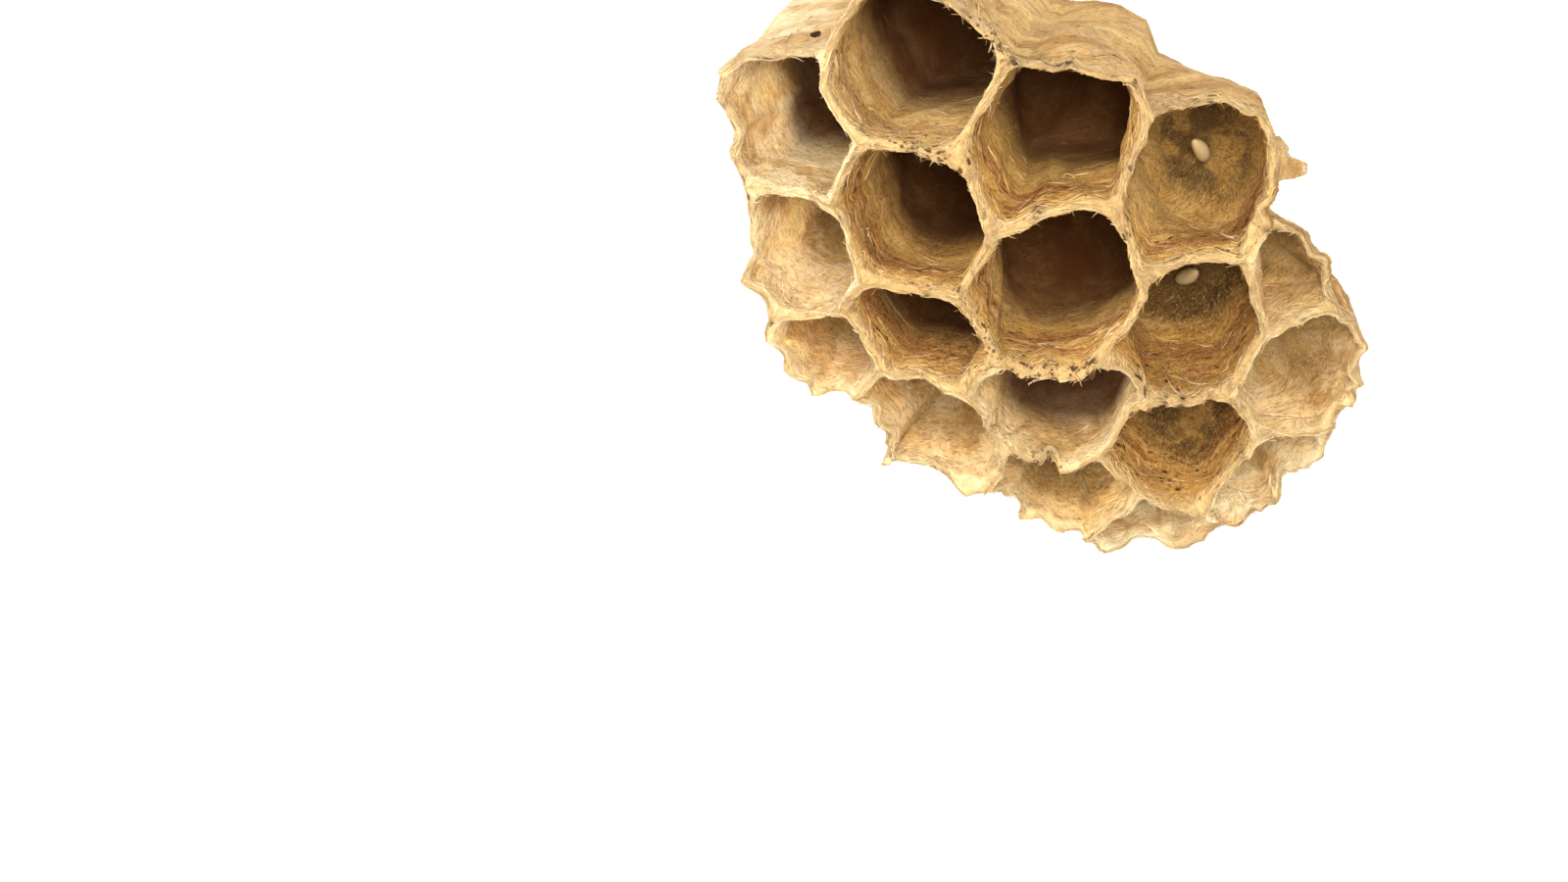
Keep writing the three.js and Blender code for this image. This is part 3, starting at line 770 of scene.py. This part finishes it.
def pulp_colour(tree, colours):
    """Chewed wood fibre laid in strips along the rim: its colour, its relief and how soft it is.

    Buff with paler, umber and russet strips and a painted highlight along every rim. Near the rims its pits,
    and the lace of the torn rims and the bore, are spots of painted shade. Deep in the tall cells it is
    darkened by the grubs' staining and by painted shade, and the floors by painted shade.
    """
    marks = {}
    for name, _ in MARKS:
        marks[name] = add_node(tree, "Attribute", {"attribute_name": name})
    weave, tone = marks["weave"].outputs["Vector"], marks["tone"].outputs["Fac"]
    below = add_node(tree, "SeparateXYZ", inputs={0: weave}).outputs["Z"]
    zones = add_node(tree, "SeparateXYZ", inputs={0: marks["zone"].outputs["Vector"]})
    stain_and_shade, floor, inside = zones.outputs["X"], zones.outputs["Y"], zones.outputs["Z"]

    # Unevenness: how many swells in a millimetre along the rim and down the wall, octaves,
    # roughness and twist. Strips are about 0.5 mm wide and several long, fibres 0.08 by 0.3 mm.
    grain = {}
    for name, along, down, octaves, roughness, twist in (
        ("strips", 0.2, 1.8, 4, 0.62, 0.4),
        ("dark strips", 0.3, 2.6, 4, 0.65, 0.5),
        ("red strips", 0.2, 1.7, 4, 0.62, 0.5),
        ("broad strips", 0.12, 0.9, 4, 0.6, 0.3),
        ("fibres", 3.0, 12.0, 5, 0.72, 0.9),
        ("felt", 9.0, 10.0, 4, 0.75, 0.5),
        ("skin", 0.5, 0.8, 3, 0.55, 0.0),
        ("patches", 0.7, 1.0, 2, 0.55, 0.0),
    ):
        place = add_node(tree, "VectorMath", {"operation": "MULTIPLY"},
                         {0: weave, 1: (along, along, down)})
        grain[name] = add_node(tree, "TexNoise", inputs={
            "Vector": place.outputs["Vector"], "Scale": 1.0, "Detail": octaves,
            "Roughness": roughness, "Distortion": twist}).outputs["Fac"]
    # Mottling about 0.8 mm across, soft clouds of 1.2 mm on the floors, and blotches of 2 mm where
    # the pulp was another wood: swells in a millimetre, and octaves.
    place = add_node(tree, "TexCoord").outputs["Object"]
    for name, swells, octaves in (("mottle", 1.3, 5), ("cloud", 0.85, 2), ("blotch", 0.5, 3)):
        grain[name] = add_node(tree, "TexNoise", inputs={
            "Vector": place, "Scale": swells / MM, "Detail": octaves, "Roughness": 0.6,
            "Distortion": 0.6}).outputs["Fac"]
    # The distance from the bore, in metres, that places the bore's painted shade.
    bore = add_node(tree, "VectorMath", {"operation": "SUBTRACT"}, {0: place, 1: tuple(BORE * MM)})
    bore = add_node(tree, "VectorMath", {"operation": "MULTIPLY"},
                    {0: bore.outputs["Vector"], 1: tuple(BORE_STRETCH)})
    bore = add_node(tree, "VectorMath", {"operation": "LENGTH"},
                    {0: bore.outputs["Vector"]}).outputs["Value"]
    # Lace along the torn rims: holes of about 0.13 mm, a strand apart, not cut but drawn as spots of painted
    # shade.
    holes = add_node(tree, "TexVoronoi", inputs={"Vector": place, "Scale": 4.5 / MM}).outputs["Distance"]
    # Pits, 0.1 by 0.3 mm, where the strips don't quite meet, darkened with painted shade.
    place = add_node(tree, "VectorMath", {"operation": "MULTIPLY"}, {0: weave, 1: (1.7, 1.7, 4.4)})
    pits = add_node(tree, "TexVoronoi", inputs={
        "Vector": place.outputs["Vector"], "Scale": 1.0}).outputs["Distance"]
    # Pale cells have more straw in them, and less umber.
    paler = add_node(tree, "Math", {"operation": "MULTIPLY_ADD"},
                     {0: tone, 1: 0.13, 2: grain["strips"]}).outputs[0]
    darker = add_node(tree, "Math", {"operation": "MULTIPLY_ADD"},
                      {0: tone, 1: -0.1, 2: grain["dark strips"]}).outputs[0]

    # How much of each thing there is: what that depends on, from where to where, the amounts, and
    # what else limits it. The first ones are only limits.
    share = {"inside": inside, "torn": marks["torn"].outputs["Fac"]}
    shade = marks["shade"].outputs["Fac"]
    for name, value, start, end, first, last, *limits in (
        ("red begins", below, 0.5, 1.1, 0.0, 1.0),
        ("red ends", below, 3.0, 1.9, 0.0, 1.0),
        ("red is old", tone, 1.0, 0.3, 0.15, 1.0),
        ("specks are old", tone, 0.9, 0.2, 0.4, 1.0),
        ("new in places", grain["mottle"], 0.35, 0.6, 0.55, 1.0),
        ("new in patches", grain["blotch"], 0.62, 0.44, 0.5, 1.0),
        ("old in places", grain["mottle"], 0.38, 0.56, 0.3, 1.0),
        # Pale cells get less of the painted floor shade.
        ("less floor shade in pale cells", tone, 1.0, 0.3, 0.35, 1.0),
        ("light floor is pale", tone, -0.6, 0.2, 0.25, 1.0),
        ("fewer pits in pale cells", tone, 0.62, 0.5, 0.15, 1.0),
        ("outer", inside, 1.0, 0.0, 0.0, 1.0),
        ("bands are old", tone, 0.9, 0.2, 0.5, 1.0),
        ("bands end", floor, 0.2, 0.0, 0.0, 1.0),
        ("pits in places", grain["patches"], 0.4, 0.52, 0.0, 1.0),
        ("pits end", below, 3.2, 1.4, 0.0, 1.0),
        ("red", grain["red strips"], 0.42, 0.55, 0.0, 0.8, "red begins", "red ends", "red is old", "inside"),
        ("specks", grain["felt"], 0.36, 0.5, 0.6, 0.0, "specks are old"),
        ("pale specks", grain["felt"], 0.54, 0.68, 0.0, 0.4, "specks are old"),
        ("new", tone, 0.2, 1.2, 0.0, 1.0, "new in places", "new in patches"),
        ("old", grain["blotch"], 0.47, 0.62, 0.0, 0.65, "old in places"),
        # Painted shade on the floors of the cells; the comb's back takes some of the same darkening.
        ("floor", floor, 0.0, 1.0, 0.0, 0.85, "less floor shade in pale cells"),
        ("bands", grain["broad strips"], 0.48, 0.62, 0.0, 0.7, "outer", "bands are old", "bands end"),
        ("pit", pits, 0.3, 0.16, 0.0, 0.9, "pits in places", "pits end", "fewer pits in pale cells"),
        ("lace", holes, 0.38, 0.22, 0.0, 0.85, "torn"),
        ("light floor", grain["cloud"], 0.46, 0.62, 0.0, 1.0, "floor", "light floor is pale"),
        ("straw", paler, 0.32, 0.68, 0.0, 1.0),
        ("umber", darker, 0.5, 0.7, 0.0, 0.55),
        ("gaps", grain["fibres"], 0.34, 0.56, 0.55, 0.0),
        ("pale fibres", grain["fibres"], 0.54, 0.74, 0.0, 0.5),
        # Painted highlight: a paler band along every rim, for light glowing through the thin edges.
        ("lip", below, 0.6, 0.1, 0.0, 0.32),
        ("pale strand", shade, 0.6, 1.0, 0.0, 0.55),
        ("dark strand", shade, 0.4, 0.0, 0.0, 0.5),
        ("soft", tone, 0.0, 1.0, 0.55, 1.0),
        ("outside", inside, 1.0, 0.0, 0.0, 0.35),
        ("skin", grain["skin"], 0.3, 0.7, 0.85, 1.0),
        # Painted shade in the bore.
        ("bore", bore, BORE_RADIUS * MM * 1.1, BORE_RADIUS * MM * 0.85, 0.0, 1.0),
    ):
        share[name] = add_node(tree, "MapRange", {"interpolation_type": "SMOOTHSTEP"}, {
            "Value": value, "From Min": start, "From Max": end, "To Min": first, "To Max": last,
        }).outputs["Result"]
        for limit in limits:
            share[name] = add_node(tree, "Math", {"operation": "MULTIPLY"},
                                   {0: share[name], 1: share[limit]}).outputs[0]
    # The grubs' stain with painted shade, deep in the reared cells, mottled by the skin.
    share["stain_and_shade"] = add_node(tree, "Math", {"operation": "MULTIPLY"},
                              {0: stain_and_shade, 1: share["skin"]}).outputs[0]

    # Each colour is laid over what is there.
    paper = (*colours.buff, 1)
    for name, colour, blend in (
        ("straw", colours.straw, "MIX"),
        ("umber", colours.umber, "MIX"),
        ("red", colours.russet, "MIX"),
        # Fresh pulp; in the palest margin cells also a painted glow of light through the thin walls.
        ("new", linear("#F5E1B4"), "MIX"),
        ("old", linear("#AA7F45"), "MIX"),
        # Painted shade on the floors.
        ("floor", linear("#432B0A"), "MIX"),
        ("light floor", linear("#B48A46"), "MIX"),
        ("gaps", colours.umber, "MULTIPLY"),
        ("pale fibres", linear("#E9CA8C"), "MIX"),
        ("specks", colours.umber, "MULTIPLY"),
        ("pale specks", linear("#EBCC8F"), "MIX"),
        ("pale strand", linear("#EEDAB0"), "MIX"),
        ("dark strand", colours.umber, "MIX"),
        # Painted highlight along the rims.
        ("lip", linear("#DAC395"), "MIX"),
        ("outside", linear("#94836A"), "MIX"),
        ("bands", linear("#8F6232"), "MIX"),
        # Stain and painted shade deep in the tall cells.
        ("stain_and_shade", colours.stain_and_shade, "MIX"),
        # Painted shade in the pits.
        ("pit", linear("#3B2208"), "MIX"),
        # Painted shade in the holes of the lace.
        ("lace", linear("#5A3C18"), "MIX"),
        # Painted shade in the bore.
        ("bore", linear("#2A1808"), "MIX"),
    ):
        paper = add_node(tree, "Mix", {"data_type": "RGBA", "blend_type": blend}, {
            MIX_SHARE: share[name], MIX_FIRST: paper, MIX_SECOND: (*colour, 1)}).outputs[MIX_RESULT]

    height = add_node(tree, "Math", {"operation": "ADD"},
                      {0: grain["fibres"], 1: grain["felt"]}).outputs[0]
    height = add_node(tree, "Math", {"operation": "SUBTRACT"},
                      {0: height, 1: share["pit"]}).outputs[0]
    return paper, height, share["soft"]


def pulp_paper(tree, colours):
    """Wasp paper: fibre pulp dried with saliva. Matt, felted, and see-through where it is new and thin."""
    paper, height, soft = pulp_colour(tree, colours)
    bump = add_node(tree, "Bump", inputs={
        "Strength": 1.0, "Distance": 0.08 * MM, "Height": height}).outputs["Normal"]
    return {"Base Color": paper, "Roughness": 0.9, "IOR": 1.5, "Specular IOR Level": 0.15,
            "Subsurface Weight": soft, "Subsurface Radius": (0.9, 0.85, 0.7),
            "Subsurface Scale": 0.5 * MM, "Normal": bump}


def varnished_pulp(tree, colours):
    """The stalk: pulp soaked in saliva that dried to a dark, glossy, ribbed varnish."""
    place = add_node(tree, "TexCoord").outputs["Object"]
    # Ribs along the stalk, about 0.17 mm apart and 1.1 mm long.
    place = add_node(tree, "VectorMath", {"operation": "MULTIPLY"}, {0: place, 1: (6 / MM, 6 / MM, 0.9 / MM)})
    ribs = add_node(tree, "TexNoise", inputs={
        "Vector": place.outputs["Vector"], "Scale": 1.0, "Detail": 4, "Roughness": 0.6}).outputs["Fac"]
    share = add_node(tree, "MapRange", inputs={
        "Value": ribs, "From Min": 0.45, "From Max": 0.75}).outputs["Result"]
    colour = add_node(tree, "Mix", {"data_type": "RGBA"}, {
        MIX_SHARE: share, MIX_FIRST: (*colours.resin, 1),
        MIX_SECOND: (*colours.pith, 1)}).outputs[MIX_RESULT]
    dull = add_node(tree, "MapRange", inputs={
        "Value": ribs, "From Min": 0.3, "From Max": 0.8, "To Min": 0.25, "To Max": 0.6}).outputs["Result"]
    bump = add_node(tree, "Bump", inputs={
        "Strength": 0.8, "Distance": 0.05 * MM, "Height": ribs}).outputs["Normal"]
    return {"Base Color": colour, "Roughness": dull, "IOR": 1.54, "Coat Weight": 0.3,
            "Coat Roughness": 0.2, "Normal": bump}


def egg_skin(tree, pearl):
    """An insect egg: a soft, moist, milky skin that lets light into it."""
    place = add_node(tree, "TexCoord").outputs["Object"]
    cloud = add_node(tree, "TexNoise", inputs={
        "Vector": place, "Scale": 2.5 / MM, "Detail": 3}).outputs["Fac"]
    colour = add_node(tree, "Mix", {"data_type": "RGBA"}, {
        MIX_SHARE: cloud, MIX_FIRST: (*pearl, 1),
        MIX_SECOND: (*linear("#B79C6C"), 1)}).outputs[MIX_RESULT]
    bump = add_node(tree, "Bump", inputs={
        "Strength": 0.3, "Distance": 0.01 * MM, "Height": cloud}).outputs["Normal"]
    return {"Base Color": colour, "Roughness": 0.32, "IOR": 1.4, "Subsurface Weight": 0.6,
            "Subsurface Radius": (1.0, 0.8, 0.5), "Subsurface Scale": 0.3 * MM, "Normal": bump}


def loose_fibre(tree, colours):
    """Torn wood fibres: dry and matt, and coloured as the strip of paper that they came from."""
    paper, _, _ = pulp_colour(tree, colours)
    return {"Base Color": paper, "Roughness": 0.8, "IOR": 1.5, "Specular IOR Level": 0.15}


def matt_board(tree, colour):
    """The table: matt white board, a little uneven so that it isn't a flat colour."""
    place = add_node(tree, "TexCoord").outputs["Object"]
    tooth = add_node(tree, "TexNoise", inputs={
        "Vector": place, "Scale": 0.9 / MM, "Detail": 3}).outputs["Fac"]
    bump = add_node(tree, "Bump", inputs={
        "Strength": 0.15, "Distance": 0.02 * MM, "Height": tooth}).outputs["Normal"]
    return {"Base Color": (*colour, 1), "Roughness": 0.9, "Normal": bump}


# ---- Pieces --------------------------------------------------------------------------------


def shaped_comb(sizes):
    """The comb's draft, its finished points, and their marks."""
    draft = comb_draft(sizes.wall / MM, sizes.fray / MM)
    return draft, *shape_paper(draft, sizes.sway / MM, sizes.ridge / MM)


def sample(grid, rows, columns, closed):
    """Values of a grid between its rows and columns."""
    last = grid.shape[1]
    rows = np.clip(rows, 0, len(grid) - 1.001)
    columns = columns % last if closed else np.clip(columns, 0, last - 1.001)
    top, left = rows.astype(int), columns.astype(int)
    down, over = (rows - top)[..., None], (columns - left)[..., None]
    right = (left + 1) % last
    upper = grid[top, left] * (1 - over) + grid[top, right] * over
    lower = grid[top + 1, left] * (1 - over) + grid[top + 1, right] * over
    return upper * (1 - down) + lower * down


# Each mesh of fibres: typical length, distance below the rim, share that are loose, and seed.
FIBRES = {"rim_fibres": (0.42, 0.14, 0.4, 7), "wall_fibres": (0.38, 0.7, 0.1, 8),
          "deep_fibres": (0.42, 2.2, 0.03, 9)}
FIBRE_COUNT = 9400  # in each mesh
FIBRE_STEPS = np.linspace(0, 1, 4)
FIBRE_SIZE = (3.0, 0.004)  # shape and scale of the spread of their radii
FIBRE_SWELL = 0.3 + 0.7 * np.sin(np.pi * (0.12 + 0.76 * FIBRE_STEPS))  # thinner at both ends
FIBRE_HEIGHT = 0.004  # over the table, at least
FIBRE_TILT = 0.17  # how much a fibre climbs or falls along the wall
FIBRE_BOW = 0.35  # how many rings of the wall a fibre bows
FIBRE_LIFT = 0.006  # how far a fibre's middle line lies off the paper
LOOSE_SIZE = (2.0, 0.035)  # shape and scale of how far the loose ends stand off
LONGEST_LOOSE = 0.24  # how far a fibre's loose end stands off the paper, at most


def fibre_paths(comb, span, depth, loose, chance):
    """Courses of fibres that lie along the strips: points, normals, and marks of the paper there."""
    draft, points, marks = comb
    normals = point_normals(points, draft.faces)
    widths = np.array([grid.shape[1] for grid, _ in draft.grids], float)
    paths, ways, looks = [], [], []
    for (grid, closed), share in zip(draft.grids, widths / widths.sum()):
        amount = max(1, round(FIBRE_COUNT * share))
        below = marks[grid][:, :, 2]
        begin = chance.uniform(0, grid.shape[1] - 1, amount)
        length = chance.gamma(3.0, span / 3, amount) * chance.choice([-1, 1], amount) / STATION_STEP
        start = depth * chance.exponential(1.0, amount)
        finish = start + chance.normal(0, FIBRE_TILT, amount) * np.abs(length) ** 0.5
        order = np.arange(len(grid))
        rows = np.array([
            np.interp([low, high], below[:, column], order)
            for column, low, high in zip(begin.astype(int), start, finish)])
        along = FIBRE_STEPS[None, :]
        row = rows[:, :1] * (1 - along) + rows[:, 1:] * along
        row += chance.normal(0, FIBRE_BOW, (amount, 1)) * along * (1 - along) * 4
        column = begin[:, None] + length[:, None] * along
        if not closed:
            column = np.clip(column, 0, grid.shape[1] - 1.01)
        spot = sample(points[grid], row, column, closed)
        way = unit(sample(normals[grid], row, column, closed))
        free = np.where(chance.uniform(size=amount) < loose, chance.gamma(*LOOSE_SIZE, amount), 0.0)
        for x, y, width in TORN:
            free *= 1 + TORN_LOOSE * nearness(spot[:, 0], x, y, width)
        free = np.minimum(free, LONGEST_LOOSE)
        spot = spot + way * (FIBRE_LIFT + free[:, None] * along**2)[..., None]
        clear = np.linalg.norm((spot - BORE) * BORE_STRETCH, axis=2).min(axis=1) > BORE_RADIUS
        paths.append(spot[clear])
        ways.append(way[clear])
        looks.append(sample(marks[grid], row[:, 1], column[:, 1], closed)[clear])
    return tuple(np.concatenate(found) for found in (paths, ways, looks))


def fibre_object(name, paths, ways, marks, chance, material):
    """Three-sided fibres, thinner at both ends, with a rounded course."""
    count, steps = paths.shape[:2]
    forward = unit(np.gradient(paths, axis=1) + 1e-9)
    sideways = np.cross(forward, ways)
    radius = (chance.gamma(*FIBRE_SIZE, (count, 1)) * FIBRE_SWELL)[..., None]
    rings = []
    for turn in (math.pi / 2, math.pi * 7 / 6, math.pi * 11 / 6):
        rings.append(paths + radius * (ways * math.sin(turn) + sideways * math.cos(turn)))
    points = np.stack(rings, axis=2).reshape(-1, 3)
    points[:, 2] = np.maximum(points[:, 2], FIBRE_HEIGHT)
    pattern = []
    for step in range(steps - 1):
        for side in range(3):
            a, b = 3 * step + side, 3 * step + (side + 1) % 3
            pattern.append((a, a + 3, b + 3, b))
    bases = (np.arange(count) * steps * 3)[:, None, None]
    faces = (np.array(pattern)[None] + bases).reshape(-1, 4).tolist()
    last = 3 * (steps - 1)
    caps = np.array([(0, 1, 2), (last + 2, last + 1, last)])
    faces += (caps[None] + bases).reshape(-1, 3).tolist()
    marks = np.repeat(np.column_stack([marks, chance.uniform(size=count)]), steps * 3, axis=0)
    return mesh_object(name, points, faces, material, marks)


class WASPNEST_OT_comb(bpy.types.Operator):
    """Build the paper comb, with its frayed rims and layered walls"""

    bl_idname = "waspnest.comb"
    bl_label = "Comb"

    def execute(self, context):
        sizes = context.scene.wasp_nest_comb
        draft, points, marks = shaped_comb(sizes)
        marks = np.column_stack([marks, np.full(len(marks), MIDDLE_SHADE)])
        paper = make_material("wasp paper", pulp_paper, sizes)
        comb = mesh_object("comb", points, draft.faces, paper, marks)
        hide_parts("nest")
        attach(comb, "root")
        return {"FINISHED"}


class WASPNEST_OT_fibres(bpy.types.Operator):
    """Lay loose wood fibres along the rims and over the walls"""

    bl_idname = "waspnest.fibres"
    bl_label = "Loose fibres"

    def execute(self, context):
        sizes = context.scene.wasp_nest_comb
        comb = shaped_comb(sizes)
        material = make_material("loose wood fibre", loose_fibre, sizes)
        for name, (span, depth, loose, seed) in FIBRES.items():
            chance = np.random.default_rng(seed)
            paths = fibre_paths(comb, span, depth, loose, chance)
            fibres = fibre_object(name, *paths, chance, material)
            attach(fibres, "root")
        return {"FINISHED"}


STALK_TOP = 0.3  # how far the stalk's top end reaches into the comb's back
STALK_LIFT = 0.22  # how far the edge of that end rises over its middle, to stay in the paper
HEAD_SPREAD = 0.6  # distance in which the stalk spreads at the comb
FOOT_SPREAD = 0.75
STALK_RIBS = ((0.035, 9, 1.3), (0.02, 17, -1.0))  # height, number, and turn in a millimetre
RIBS_BEGIN = 0.4  # distance over the cut face in which the ribs set in


class WASPNEST_OT_stalk(bpy.types.Operator):
    """Build the dark stalk that the comb hung from"""

    bl_idname = "waspnest.stalk"
    bl_label = "Stalk"

    def execute(self, context):
        sizes = context.scene.wasp_nest_stalk
        waist, head, foot = sizes.waist / MM, sizes.head / MM, sizes.foot / MM
        height = BACK_AT_STALK + STALK_TOP - np.linalg.norm(DOME)
        level, leaning = Quaternion(), Vector((0, 0, 1)).rotation_difference(Vector(STALK_AXIS))
        rows, sides = 40, 96
        top = rows * sides
        points, faces = [], []
        for row in range(rows + 1):
            along = height * row / rows
            near_top = math.exp((along - height) / HEAD_SPREAD)
            radius = waist + (foot - waist) * math.exp(-along / FOOT_SPREAD) + (head - waist) * near_top
            bend = level.slerp(leaning, min(1, 2 * along / height))
            raised = STALK_AXIS * (along + STALK_LIFT * near_top)
            for side in range(sides):
                turn = 2 * math.pi * side / sides
                rib = sum(high * math.sin(ribs * turn + twist * along) for high, ribs, twist in STALK_RIBS)
                reach = radius * (1 + rib * min(1, along / RIBS_BEGIN))
                spot = bend @ Vector((reach * math.cos(turn), reach * math.sin(turn), 0))
                points.append(np.array(spot) + raised)
        for first in range(0, top, sides):
            for side in range(sides):
                a, b = first + side, first + (side + 1) % sides
                faces.append((a, b, b + sides, a + sides))
        faces.append(tuple(range(sides - 1, -1, -1)))
        faces.extend((top + side, top + (side + 1) % sides, top + sides) for side in range(sides))
        points.append(STALK_AXIS * height)
        points = np.array(points)
        points[:, 2] = np.maximum(points[:, 2], 0)
        stalk = mesh_object("stalk", points, faces, make_material("varnished pulp", varnished_pulp, sizes))
        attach(stalk, "root")
        return {"FINISHED"}


EGG_TAPER = 0.12  # how much thinner one end is than the middle, and thicker the other
EGG_BOW = 0.28  # how far the middle bows to one side, in half widths
EGG_GRID = {"u_segments": 40, "v_segments": 28}


class WASPNEST_OT_eggs(bpy.types.Operator):
    """Build the two eggs in the shallow cells"""

    bl_idname = "waspnest.eggs"
    bl_label = "Eggs"

    def execute(self, context):
        sizes = context.scene.wasp_nest_eggs
        skin = make_material("egg skin", egg_skin, sizes.pearl)
        half_length, half_width = sizes.length / 2, sizes.width / 2
        for name, node, side in (("upper_egg", "egg_upper", -1), ("lower_egg", "egg_lower", 1)):
            low, high = (Vector(corner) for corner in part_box(node))
            # The egg leans as far along each axis as its node's box is longer than it is wide.
            along = Vector([math.sqrt(max((span / 2) ** 2 - half_width**2, 0)) for span in high - low])
            along.x *= side
            made = bmesh.new()
            bmesh.ops.create_uvsphere(made, radius=1, **EGG_GRID)
            for vertex in made.verts:
                share = vertex.co.z
                bow = half_width * EGG_BOW * (1 - share**2) - half_width * EGG_BOW / 2
                taper = half_width * (1 - EGG_TAPER * share)
                vertex.co = vertex.co.x * taper + bow, vertex.co.y * taper, share * half_length
            mesh = bpy.data.meshes.new(name)
            made.to_mesh(mesh)
            made.free()
            turn = Vector((0, 0, 1)).rotation_difference(along.normalized()).to_matrix().to_4x4()
            mesh.transform(Matrix.Translation((low + high) / 2) @ turn)
            egg = place_mesh(mesh, skin)
            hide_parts(node)
            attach(egg, "root")
        return {"FINISHED"}


TABLE_HALF = 900.0  # half the table's width, in millimetres
AIM = (-0.0066, -0.0144, 0.005)  # where the lamps point, in metres
SIDE_SHARE = 0.4  # the side lamp's power, over the key lamp's
CAMERA_PLACE = (-6.566 * MM, -14.414 * MM)  # straight above the middle of the view


class WASPNEST_OT_stage(bpy.types.Operator):
    """Set the table, the lamps and the camera"""

    bl_idname = "waspnest.stage"
    bl_label = "Table, lamps and camera"

    def execute(self, context):
        sizes = context.scene.wasp_nest_studio
        corners = [(x * TABLE_HALF, y * TABLE_HALF, 0) for x, y in ((-1, -1), (1, -1), (1, 1), (-1, 1))]
        board = make_material("matt white board", matt_board, sizes.table)
        table = mesh_object("table", corners, [(0, 1, 2, 3)], board)
        for name, spot, size, power in (
            ("key lamp", (0.03, 0.03, 0.56), 0.26, sizes.key),
            ("side lamp", (-0.36, 0.0, 0.3), 0.3, sizes.key * SIDE_SHARE),
        ):
            light = bpy.data.lights.new(name, "AREA")
            light.shape = "DISK"
            light.size = size
            light.energy = power
            lamp = place(light)
            lamp.location = spot
            lamp.rotation_mode = "QUATERNION"
            lamp.rotation_quaternion = (Vector(AIM) - Vector(spot)).to_track_quat("-Z", "Y")
        world = bpy.data.worlds.new("white room")
        world.use_nodes = True
        background = world.node_tree.nodes["Background"]
        background.inputs["Color"].default_value = (1, 1, 1, 1)
        background.inputs["Strength"].default_value = sizes.fill
        context.scene.world = world
        lens = bpy.data.cameras.new("camera")
        lens.lens = sizes.lens
        lens.sensor_width = 36
        lens.clip_start, lens.clip_end = 0.01, 20
        camera = place(lens)
        camera.location = (*CAMERA_PLACE, sizes.height)
        context.scene.camera = camera
        context.scene.view_settings.view_transform = "Standard"
        return {"FINISHED"}


class WASPNEST_PT_panel(bpy.types.Panel):
    """Lists the pieces of the nest"""

    bl_idname = "WASPNEST_PT_panel"
    bl_label = "Paper Wasp Nest"
    bl_space_type = "VIEW_3D"
    bl_region_type = "UI"
    bl_category = "Wasp Nest"

    def draw(self, context):
        for group, _, operators in GROUPS:
            box = self.layout.box()
            settings = getattr(context.scene, group)
            for name in settings.__annotations__:
                box.prop(settings, name)
            for operator in operators:
                box.operator(operator.bl_idname)


# Each group of settings: its name in the scene, its class, and the operators that read it.
GROUPS = (
    ("wasp_nest_comb", WaspNestComb, (WASPNEST_OT_comb, WASPNEST_OT_fibres)),
    ("wasp_nest_stalk", WaspNestStalk, (WASPNEST_OT_stalk,)),
    ("wasp_nest_eggs", WaspNestEggs, (WASPNEST_OT_eggs,)),
    ("wasp_nest_studio", WaspNestStudio, (WASPNEST_OT_stage,)),
)
CLASSES = [cls for _, group, operators in GROUPS for cls in (group, *operators)] + [WASPNEST_PT_panel]


def register():
    for cls in CLASSES:
        bpy.utils.register_class(cls)
    for name, group, _ in GROUPS:
        setattr(bpy.types.Scene, name, bpy.props.PointerProperty(type=group))


def unregister():
    for name, _, _ in GROUPS:
        delattr(bpy.types.Scene, name)
    for cls in reversed(CLASSES):
        bpy.utils.unregister_class(cls)


def main():
    """Builds every piece and the stage."""
    register()
    bpy.ops.waspnest.comb()
    bpy.ops.waspnest.fibres()
    bpy.ops.waspnest.stalk()
    bpy.ops.waspnest.eggs()
    bpy.ops.waspnest.stage()


if __name__ == "__main__":
    main()
